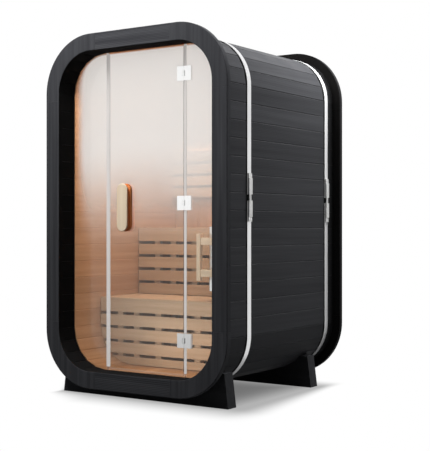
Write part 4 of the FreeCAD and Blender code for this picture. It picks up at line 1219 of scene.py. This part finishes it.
# ---- trim rings
@dataclass
class TrimRings:
    """Black rings at the front and the rear, each of four boards and four corner pieces."""

    roughness: float = 0.55
    relief: float = 0.0005
    corner_length: float = 0.395

    def timber(self, name: str, lay: Lay | SplitLay) -> Timber:
        """Black stained timber of the rings, in one lay, with painted shade at the opening and on
        the rear ring.
        """
        look = (self.roughness, BLACK_SHINE, self.relief)
        return Timber(name, RING_TONE, lay, *look, dusty_and_top_lit=True, shade_before_glass=glass_face())

    def dress(self) -> None:
        """Grain along each straight board, and upright on the corner pieces."""
        joint_x = SHELL.half_width - self.corner_length
        level = Lay(Axis.X, Axis.Z, 1.0, 0.3)
        upright = Lay(Axis.Z, Axis.X, 1.0, 0.0)
        boards = SplitLay(level, upright, Axis.X, joint_x, mirrored=True)
        corners = SplitLay(upright, Lay(Axis.Z, Axis.X, 1.0, 0.4), Axis.Z, SHELL.middle_z)
        dress(self.timber("ring_board_timber", boards), "front_ring_boards", "rear_ring_boards")
        dress(self.timber("ring_corner_timber", corners), "front_ring_corners", "rear_ring_corners")


# ---- boarded shell
@dataclass
class BoardedShell:
    """Tongued boards from front to rear, on two cradles that are screwed to the floor."""

    cradle_edge: float = 0.003
    cradle_roughness: float = 0.62
    cradle_relief: float = 0.0006

    def dress(self) -> None:
        """Stain the outside black and leave the room's side bare."""
        room_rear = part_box("rear_wall_boards")[1].y
        rear_band_start, rear_band_end = (corner.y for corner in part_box("rear_band"))
        ring_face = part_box("rear_ring_boards")[0].y
        bands = (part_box("front_band")[0].y, rear_band_start)
        places = (glass_face(), room_rear, bands, rear_band_end, ring_face)
        names = ("right_wall", "left_wall", "roof", "floor", "upper_corner", "lower_corner")
        dress(StaveTimber("stave_timber", *places), *(name + "_staves" for name in names))
        look = (self.cradle_roughness, BLACK_SHINE, self.cradle_relief, self.cradle_edge)
        cradle = Timber("cradle_timber", BLACK_TONE, Lay(Axis.X, Axis.Y, 0.4), *look)
        dress(cradle, "front_cradle", "rear_cradle")
        soften(self.cradle_edge, "front_cradle", "rear_cradle")
        screw = Metal(
            "plain_screw_steel", (0.62, 0.62, 0.62), (0.45, 0.45, 0.45), 0.28, 0.3, Axis.Z
        )
        dress(screw, "cradle_screws")


# ---- steel bands
@dataclass
class SteelBands:
    """Two bright straps with their turnbuckle tensioners on the right wall."""

    block_edge: float = 0.0012

    def dress(self) -> None:
        """Polished straps and rivets, satin tensioners, and a lighter rear strap as painted light.
        """
        strap = Metal(
            "strap_steel", (0.77, 0.77, 0.775), (0.70, 0.70, 0.71), 0.25, 0.5, Axis.Z, 0.85
        )
        satin = Metal(
            "tensioner_steel", (0.74, 0.74, 0.73), (0.58, 0.58, 0.57), 0.32, 0.9, Axis.Z, 0.45
        )
        # Painted light: the rear strap is the same steel, made lighter and less metallic to look as
        # bright as the front one.
        lightened_rear_strap = Metal(
            "lightened_rear_strap_steel", (0.88, 0.88, 0.885), (0.82, 0.82, 0.83), 0.25, 0.5, Axis.Z, 0.3
        )
        dress(strap, "front_band", "band_rivets")
        dress(lightened_rear_strap, "rear_band")
        dress(satin, "tension_blocks", "tension_studs", "front_tension_nut", "rear_tension_nut")
        soften(self.block_edge, "tension_blocks", "front_tension_nut", "rear_tension_nut")


# ---- glass front
@dataclass
class GlassFront:
    """Three panes with their seals, hinges and pulls, and the steam on their inside."""

    mist_gap: float = 0.0004
    mist_inset: float = 0.002
    arc_steps: int = 12
    plate_edge: float = 0.0005
    pull_face: float = 0.006
    pull_edge: float = 0.0015
    sweep_height: float = 0.012
    clear_below: float = 0.84
    dense_above: float = 1.56
    rims: tuple[float, float] = (0.17, 0.080)
    covers: tuple[float, float] = (0.05, 1.05)

    def outline(self) -> list[tuple[float, float]]:
        """Rounded outline of the room, as (x, z) points from the lower right, anticlockwise.

        Returns:
            The points.
        """
        reach = SHELL.inner_reach - self.mist_inset
        points = []
        for quarter, (side, level) in enumerate(((1, -1), (1, 1), (-1, 1), (-1, -1))):
            start = -math.pi / 2.0 + quarter * math.pi / 2.0
            for step in range(self.arc_steps + 1):
                angle = start + step * math.pi / 2.0 / self.arc_steps
                x = side * SHELL.corner_x + reach * math.cos(angle)
                z = SHELL.middle_z + level * SHELL.corner_rise + reach * math.sin(angle)
                points.append((x, z))
        return points

    def film(
        self, name: str, low_x: float, high_x: float, low_z: float, high_z: float, body: Body
    ) -> None:
        """Film of steam over one pane, cut from the room's outline.

        Args:
            name: The piece's name.
            low_x: Left edge of the film.
            high_x: Right edge of the film.
            low_z: Lower edge of the film.
            high_z: Upper edge of the film.
            body: The body that the pane rides on.
        """
        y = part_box("door_glass_pane")[1].y + self.mist_gap
        mesh = bmesh.new()
        mesh.faces.new([mesh.verts.new((x, y, z)) for x, z in self.outline()])
        cuts = (
            ((low_x, 0.0, 0.0), (-1.0, 0.0, 0.0)),
            ((high_x, 0.0, 0.0), (1.0, 0.0, 0.0)),
            ((0.0, 0.0, low_z), (0.0, 0.0, -1.0)),
            ((0.0, 0.0, high_z), (0.0, 0.0, 1.0)),
        )
        for place, outward in cuts:
            whole = [*mesh.verts, *mesh.edges, *mesh.faces]
            bmesh.ops.bisect_plane(
                mesh, geom=whole, plane_co=place, plane_no=outward, clear_outer=True
            )
        steam = Mist(
            name + "_steam", self.clear_below, self.dense_above, *self.rims, *self.covers
        )
        add_piece(name, mesh, steam, body)

    def build(self) -> None:
        """Steam film on each pane."""
        _, left_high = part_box("left_glass_pane")
        door_low, door_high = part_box("door_glass_pane")
        right_low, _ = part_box("right_glass_pane")
        edge = SHELL.half_width
        self.film("left_pane_steam", -edge, left_high.x, 0.0, SHELL.top, Body.CABIN)
        self.film("right_pane_steam", right_low.x, edge, 0.0, SHELL.top, Body.CABIN)
        self.film("door_steam", door_low.x, door_high.x, door_low.z, door_high.z, Body.DOOR)

    def dress(self) -> None:
        """Glass, pale seals, chrome hinges and bare wooden pulls."""
        glass = ClearGlass("pane_glass", (0.96, 0.985, 0.98))
        dress(glass, *(side + "_glass_pane" for side in ("left", "right", "door")))
        seal = Moulding(
            "seal_plastic",
            (0.33, 0.315, 0.305),
            (0.42, 0.41, 0.40),
            0.45,
            # Painted light: the seals glow as if they carried the room's light.
            painted_glow=(0.35, 0.33, 0.32),
            clear_below=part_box("door_glass_pane")[0].z + self.sweep_height,
        )
        dress(seal, "fixed_pane_seals", "door_seals")
        tones = ((0.93, 0.93, 0.925), (0.86, 0.86, 0.86))
        # Painted shade: the hinges darker towards the ground.
        chrome = Metal("hinge_chrome", *tones, 0.09, 0.1, Axis.X, low_shade_share=0.58)
        sides = ("fixed", "door")
        plates = [side + part for side in sides for part in ("_hinge_leaves", "_hinge_plates")]
        dress(chrome, *plates)
        soften(self.plate_edge, *plates)
        steel = Metal(
            "hinge_screw_steel", (0.55, 0.55, 0.55), (0.40, 0.40, 0.40), 0.25, 0.3, Axis.Z
        )
        dress(steel, "fixed_hinge_screws", "door_hinge_screws", "hinge_pins", "handle_bolts")
        lay = Lay(Axis.Z, Axis.X, 1.0, -0.5)
        outer_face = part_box("outer_handle")[0].y + self.pull_face
        inner_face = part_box("inner_handle")[1].y - self.pull_face
        outer = TwoToneTimber("outer_pull_timber", lay, outer_face, PALE_TONE, DARK_TONE)
        inner = TwoToneTimber("inner_pull_timber", lay, inner_face, DARK_TONE, PALE_TONE)
        dress(outer, "outer_handle")
        dress(inner, "inner_handle")
        soften(self.pull_edge, "outer_handle", "inner_handle")


# ---- rear wall
@dataclass
class RearWall:
    """Upright boards between the room and the rear ring, with the vent."""

    boards: int = 11
    edge: float = 0.001

    def dress(self) -> None:
        """Bare boards, black on their outer face, with a black grille outside."""
        low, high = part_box("rear_wall_boards")
        pitch = (high.x - low.x) / self.boards
        lay = Lay(Axis.Z, Axis.X, pitch, low.x)
        middle = (low.y + high.y) / 2.0
        boards = TwoToneTimber("rear_wall_timber", lay, middle, WALL_TONE, BLACK_TONE, 0.55, 0.08)
        dress(boards, "rear_wall_boards")
        vent = Timber("vent_timber", BENCH_TONE, Lay(Axis.X, Axis.Z, 0.2), 0.55, 0.25, 0.0004)
        dress(vent, "vent_runners", "vent_shutter")
        grille = Moulding("grille_plastic", (0.035, 0.035, 0.035), (0.10, 0.10, 0.10), 0.45)
        dress(grille, "vent_grille")
        soften(self.edge, "vent_runners", "vent_shutter", "vent_grille")


# ---- benches
@dataclass
class Benches:
    """Two tiers of slatted seats with boarded skirts, and the backrest with its light strip."""

    slat_count: int = 4
    skirt_count: int = 5
    backrest_count: int = 4
    board_edge: float = 0.0025
    row_slack: float = 0.001

    def row(self, node: str, across: Axis, count: int) -> Lay:
        """Lay of a row of equal boards along X.

        Args:
            node: The node that holds the row.
            across: The way the row is counted.
            count: How many boards it has.

        Returns:
            The lay.
        """
        low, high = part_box(node)
        start = low[across.value]
        return Lay(Axis.X, across, (high[across.value] - start) / count, start - self.row_slack)

    def timber(self, name: str, lay: Lay, tone: TimberTone = BENCH_TONE) -> Timber:
        """Bare softwood in one lay and tone."""
        return Timber(name, tone, lay, 0.52, 0.28, 0.0004, 0.0025)

    def dress(self) -> None:
        """Pale bare boards on frames of the same wood, and the warm light strip."""
        # The upper skirt takes a darker copy of the bench timber, as painted shade.
        for tier, tone in (("lower", BENCH_TONE), ("upper", UPPER_SKIRT_SHADE_TONE)):
            bench = tier + "_bench"
            seat = self.row(bench + "_slats", Axis.Y, self.slat_count)
            dress(self.timber(bench + "_seat", seat), bench + "_slats")
            skirt = self.row(bench + "_skirt", Axis.Z, self.skirt_count)
            dress(self.timber(bench + "_front", skirt, tone), bench + "_skirt")
            posts = Lay(Axis.Z, Axis.X, 0.11)
            dress(self.timber(bench + "_posts", posts), bench + "_frame")
        backrest = self.row("backrest_boards", Axis.Z, self.backrest_count)
        dress(self.timber("backrest_timber", backrest), "backrest_boards")
        dress(self.timber("backrest_post_timber", Lay(Axis.Z, Axis.X, 0.3)), "backrest_supports")
        soften(self.board_edge, "lower_bench_skirt", "upper_bench_skirt")
        channel = Metal(
            "light_channel_metal", (0.72, 0.72, 0.73), (0.60, 0.60, 0.61), 0.30, 0.5, Axis.X
        )
        dress(channel, "light_channel")
        dress(Glow("light_lens", (1.0, 0.60, 0.28), 16.0), "light_diffuser")


# ---- heater
@dataclass
class Heater:
    """Wall-hung electric heater with stones, two dials and a wooden guard."""

    stone_columns: int = 5
    stone_rows: int = 4
    stone_layers: int = 2
    stone_seed: int = 11
    stone_cuts: int = 9
    stone_cut_at: float = 0.36
    stone_lumps: float = 0.10
    stone_lump_scale: float = 3.0
    stone_fill: float = 1.28
    stone_shift: float = 0.002
    tick_count: int = 11
    tick_sweep: float = 280.0
    tick_inner: float = 0.0205
    tick_length: float = 0.0045
    tick_width: float = 0.0012
    tick_rise: float = 0.0004
    guard_edge: float = 0.002
    guard_corner: float = 0.028

    def stone(self, mesh: BMesh, centre: Vector, size: Vector, rng: random.Random) -> None:
        """Add one broken stone.

        Args:
            mesh: The mesh that grows.
            centre: Its middle.
            size: Its width, depth and height.
            rng: Source of its shape.
        """
        made = bmesh.ops.create_icosphere(mesh, subdivisions=3, radius=0.5)["verts"]
        place = Vector([rng.uniform(0, 50) for _ in Axis])
        ways = [Vector([rng.gauss(0, 1) for _ in Axis]) for _ in range(self.stone_cuts)]
        cuts = [way.normalized() for way in ways]
        for vertex in made:
            point = vertex.co.copy()
            for cut in cuts:
                over = point.dot(cut) - self.stone_cut_at
                if over > 0.0:
                    point -= cut * over
            lump = noise.noise(point * self.stone_lump_scale + place)
            vertex.co = point * (1.0 + self.stone_lumps * lump)
        spin = Matrix.Rotation(rng.uniform(-0.5, 0.5), 4, "Z")
        stretch = Matrix.Diagonal((*(size * self.stone_fill), 1.0))
        bmesh.ops.transform(mesh, matrix=Matrix.Translation(centre) @ stretch @ spin, verts=made)

    def build_stones(self) -> None:
        """Pile of broken stones in place of the plain blocks."""
        low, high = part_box("heater_stones")
        counts = (self.stone_columns, self.stone_rows, self.stone_layers)
        pitch = Vector((b - a) / count for a, b, count in zip(low, high, counts))
        rng = random.Random(self.stone_seed)
        mesh = bmesh.new()
        for cell in itertools.product(*(range(count) for count in counts)):
            centre = low + Vector((step + 0.5) * length for step, length in zip(cell, pitch))
            size = Vector(length * rng.uniform(0.86, 1.0) for length in pitch)
            shift = Vector((rng.uniform(-1, 1), rng.uniform(-1, 1), 0.0)) * self.stone_shift
            self.stone(mesh, centre + shift, size, rng)
        rock = Rock("heater_rock", (0.085, 0.083, 0.082), (0.20, 0.195, 0.19))
        pile = add_piece("stone_pile", mesh, rock, Body.CABIN)
        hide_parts("heater_stones")

    def build_scale(self, knob: str) -> None:
        """Ring of plain ticks round a knob.

        Args:
            knob: The knob's node.
        """
        low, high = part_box(knob)
        face_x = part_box("heater_casing")[0].x
        centre = Vector((face_x, (low.y + high.y) / 2.0, (low.z + high.z) / 2.0))
        mesh = bmesh.new()
        for index in range(self.tick_count):
            angle = math.radians(self.tick_sweep * index / (self.tick_count - 1))
            end = self.tick_inner + self.tick_length * (1.5 if index % 5 == 0 else 1.0)
            half = self.tick_width / 2.0
            turn = Matrix.Translation(centre) @ Matrix.Rotation(-angle, 4, "X")
            box_into(mesh, (-self.tick_rise, -half, self.tick_inner), (0.0, half, end), turn)
        ink = Moulding(knob + "_scale_ink", (0.05, 0.05, 0.05), (0.10, 0.10, 0.10), 0.5)
        add_piece(knob + "_scale", mesh, ink, Body.CABIN)

    def build(self) -> None:
        """Stones and dial scales."""
        self.build_stones()
        self.build_scale("timer_knob")
        self.build_scale("thermostat_knob")

    def dress(self) -> None:
        """Brushed casing, dark elements, black knobs and a pale guard."""
        sheet = Metal("casing_steel", (0.78, 0.78, 0.785), (0.62, 0.62, 0.63), 0.24, 1.0, Axis.Y)
        dress(sheet, "heater_casing", "heater_stone_grate")
        tube = Metal("element_steel", (0.20, 0.19, 0.185), (0.30, 0.22, 0.16), 0.45, 0.4, Axis.Z)
        dress(tube, "heater_elements")
        knob = Moulding("knob_plastic", (0.030, 0.030, 0.030), (0.09, 0.09, 0.09), 0.38)
        dress(knob, "timer_knob", "thermostat_knob", "heater_gland")
        wall = Lay(Axis.Z, Axis.Y, 1.0, -0.6)
        dress(Timber("heater_board_timber", BENCH_TONE, wall, 0.55, 0.25, 0.0004), "heater_bracket")
        corner_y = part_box("guard_posts")[0].y + self.guard_corner
        rails = SplitLay(Lay(Axis.X, Axis.Z, 0.1), Lay(Axis.Y, Axis.Z, 0.1), Axis.Y, corner_y)
        for part, lay in (("post", Lay(Axis.Z, Axis.Y, 0.2)), ("rail", rails)):
            look = (0.50, 0.30, 0.0003, self.guard_edge)
            dress(Timber(f"guard_{part}_timber", PALE_TONE, lay, *look), f"guard_{part}s")
        soften(self.guard_edge, "guard_posts", "guard_rails", "heater_bracket")


# ---- studio
@dataclass(frozen=True)
class Lamp:
    """A soft rectangular lamp."""

    name: str
    place: Point
    aim: Point
    width: float
    depth: float
    power: float
    colour: Colour

    def build(self) -> None:
        """Add the lamp, seen only by what it lights."""
        data = bpy.data.lights.new(self.name, "AREA")
        data.shape = "RECTANGLE"
        data.size = self.width
        data.size_y = self.depth
        data.energy = self.power
        data.color = self.colour
        lamp = link(self.name, data)
        lamp.location = self.place
        toward = Vector(self.aim) - Vector(self.place)
        lamp.rotation_euler = toward.to_track_quat("-Z", "Y").to_euler()
        lamp.visible_camera = False
        lamp.visible_glossy = False
        lamp.visible_transmission = False


@dataclass
class Studio:
    """White floor and surroundings, soft light from above, the room's warm lamps, and the camera.

    The shade lengths say how far the floor's painted shade reaches beyond the cradles. A pair of
    them runs from one end of its side to the other.
    """

    floor_half: float = 30.0
    floor_lit: float = 0.08
    # Grey of the painted shade under the cabin, given as emission.
    floor_base: float = 0.17
    shade_right: tuple[float, float] = (0.31, 0.12)
    shade_left: tuple[float, float] = (0.04, 0.32)
    shade_front: tuple[float, float] = (0.14, 0.36)
    shade_rear: float = 0.25
    shade_turn: float = -0.30
    shade_under: float = 0.36
    shade_power: float = 2.3
    edge_white: float = 0.277
    fade_right: float = 0.2
    fade_start: float = -0.15
    camera_place: Point = (3.859, -5.542, 1.037)
    camera_turn: float = 33.96
    focal_px: float = 1050.0
    frame_height_px: float = 451.0
    sensor: float = 36.0

    def seen_directly(self, graph: Graph) -> Socket:
        """1 for camera, glossy and transmission rays, and 0 for the rays that carry light.

        Args:
            graph: The graph that asks.

        Returns:
            The mask.
        """
        path = graph.add("LightPath").outputs
        mirrored = graph.most(path["Is Glossy Ray"], path["Is Transmission Ray"])
        return graph.most(path["Is Camera Ray"], mirrored)

    def build_world(self) -> None:
        """White where it is seen, and a faint sky brighter overhead where it lights."""
        world = bpy.data.worlds.new("studio")
        world.use_nodes = True
        world.node_tree.nodes.clear()
        graph = Graph(world.node_tree)
        _, _, up = graph.split(graph.add("TexCoord").outputs["Generated"])
        sky = graph.blend(graph.smooth(up, -0.2, 0.9), (0.020, 0.020, 0.021), (0.11, 0.11, 0.113))
        colour = graph.blend(self.seen_directly(graph), sky, WHITE)
        background = graph.add("Background", {"Color": colour, "Strength": 1.0})
        graph.add("OutputWorld", {"Surface": background.outputs[0]})
        bpy.context.scene.world = world

    def whiteness(self, graph: Graph) -> Socket:
        """Share of plain white: least under the cabin, 1 where the painted shade round the cradles
        ends.

        Args:
            graph: The floor's graph.

        Returns:
            The share.
        """
        low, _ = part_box("front_cradle")
        _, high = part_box("rear_cradle")
        x, y, _ = graph.split(graph.position())
        right = graph.ranged(y, low.y, high.y, *self.shade_right)
        left = graph.ranged(y, low.y, self.shade_turn, *self.shade_left)
        front = graph.ranged(x, low.x, self.shade_turn, *self.shade_front)
        sides = (
            (graph.minus(x, high.x), right, self.fade_right),
            (graph.minus(low.x, x), left, self.fade_start),
            (graph.minus(low.y, y), front, self.fade_start),
            (graph.minus(y, high.y), self.shade_rear, self.fade_start),
        )
        beyond = -self.floor_half
        kept = 1.0
        for distance, reach, start in sides:
            beyond = graph.most(distance, beyond)
            fade = graph.smooth(graph.math("DIVIDE", distance, reach), start, 1.0)
            kept = graph.times(graph.minus(1.0, fade), kept)
        under = graph.ranged(beyond, -self.shade_under, 0.0, 0.0, 1.0)
        rise = graph.math("POWER", under, self.shade_power)
        shaded = graph.minus(1.0, graph.times(rise, self.edge_white))
        return graph.minus(1.0, graph.times(kept, shaded))

    def build_floor(self) -> None:
        """White floor with painted shade round the cradles, where the cabin's real shadow also
        falls, and plain white further out.
        """
        material, graph = new_material("studio_floor")
        far = self.whiteness(graph)
        lit = graph.add("BsdfDiffuse", {"Color": rgba((self.floor_lit,) * 3)})
        base = graph.add("Emission", {"Color": rgba((self.floor_base,) * 3)})
        near = graph.add("AddShader", {0: lit.outputs[0], 1: base.outputs[0]})
        white = graph.add("Emission", {"Color": rgba(WHITE)})
        shown = graph.add("MixShader", {0: far, 1: near.outputs[0], 2: white.outputs[0]})
        inputs = {0: self.seen_directly(graph), 1: lit.outputs[0], 2: shown.outputs[0]}
        close_material(graph, graph.add("MixShader", inputs))
        mesh = bmesh.new()
        bmesh.ops.create_grid(mesh, x_segments=1, y_segments=1, size=self.floor_half)
        floor = mesh_object("floor", mesh, material)

    def build_lamps(self) -> None:
        """Two overhead softboxes, and warm lamps at the room's ceiling, front and low down."""
        warm = (1.0, 0.84, 0.68)
        lamps = (
            Lamp("rear_softbox", (1.3, 0.8, 3.1), (0.6, 0.2, 1.2), 1.5, 1.5, 98.0, WHITE),
            Lamp("front_softbox", (-0.5, -2.1, 3.9), (0.0, -0.7, 0.8), 2.0, 2.0, 178.0, WHITE),
            Lamp("room_ceiling", (0.0, 0.1, 2.085), (0.0, 0.1, 0.0), 0.8, 0.5, 8.6, warm),
            Lamp("room_front", (0.0, -0.42, 1.90), (0.0, -0.22, 0.0), 0.9, 0.1, 4.5, warm),
            Lamp("room_low", (0.20, -0.525, 0.30), (0.20, -0.29, 0.29), 0.7, 0.24, 0.50, warm),
        )
        for lamp in lamps:
            lamp.build()

    def build_camera(self) -> None:
        """Level camera before the cabin and to its right, at the photograph's viewing angle."""
        data = bpy.data.cameras.new("camera")
        data.sensor_width = self.sensor
        data.lens = self.focal_px / self.frame_height_px * self.sensor
        data.clip_end = 100.0
        camera = link("camera", data)
        camera.location = self.camera_place
        camera.rotation_euler = (math.pi / 2.0, 0.0, math.radians(self.camera_turn))
        bpy.context.scene.camera = camera

    def build(self) -> None:
        """Floor, world, lamps and camera."""
        self.build_world()
        self.build_floor()
        self.build_lamps()
        self.build_camera()
        bpy.context.scene.view_settings.view_transform = "Standard"


def main() -> None:
    """Build and dress every sub-assembly, then the studio."""
    logging.basicConfig(level=logging.INFO, format="%(name)s: %(message)s")
    TrimRings().dress()
    BoardedShell().dress()
    SteelBands().dress()
    glass = GlassFront()
    glass.build()
    glass.dress()
    RearWall().dress()
    Benches().dress()
    heater = Heater()
    heater.build()
    heater.dress()
    Studio().build()


if __name__ == "__main__":
    main()
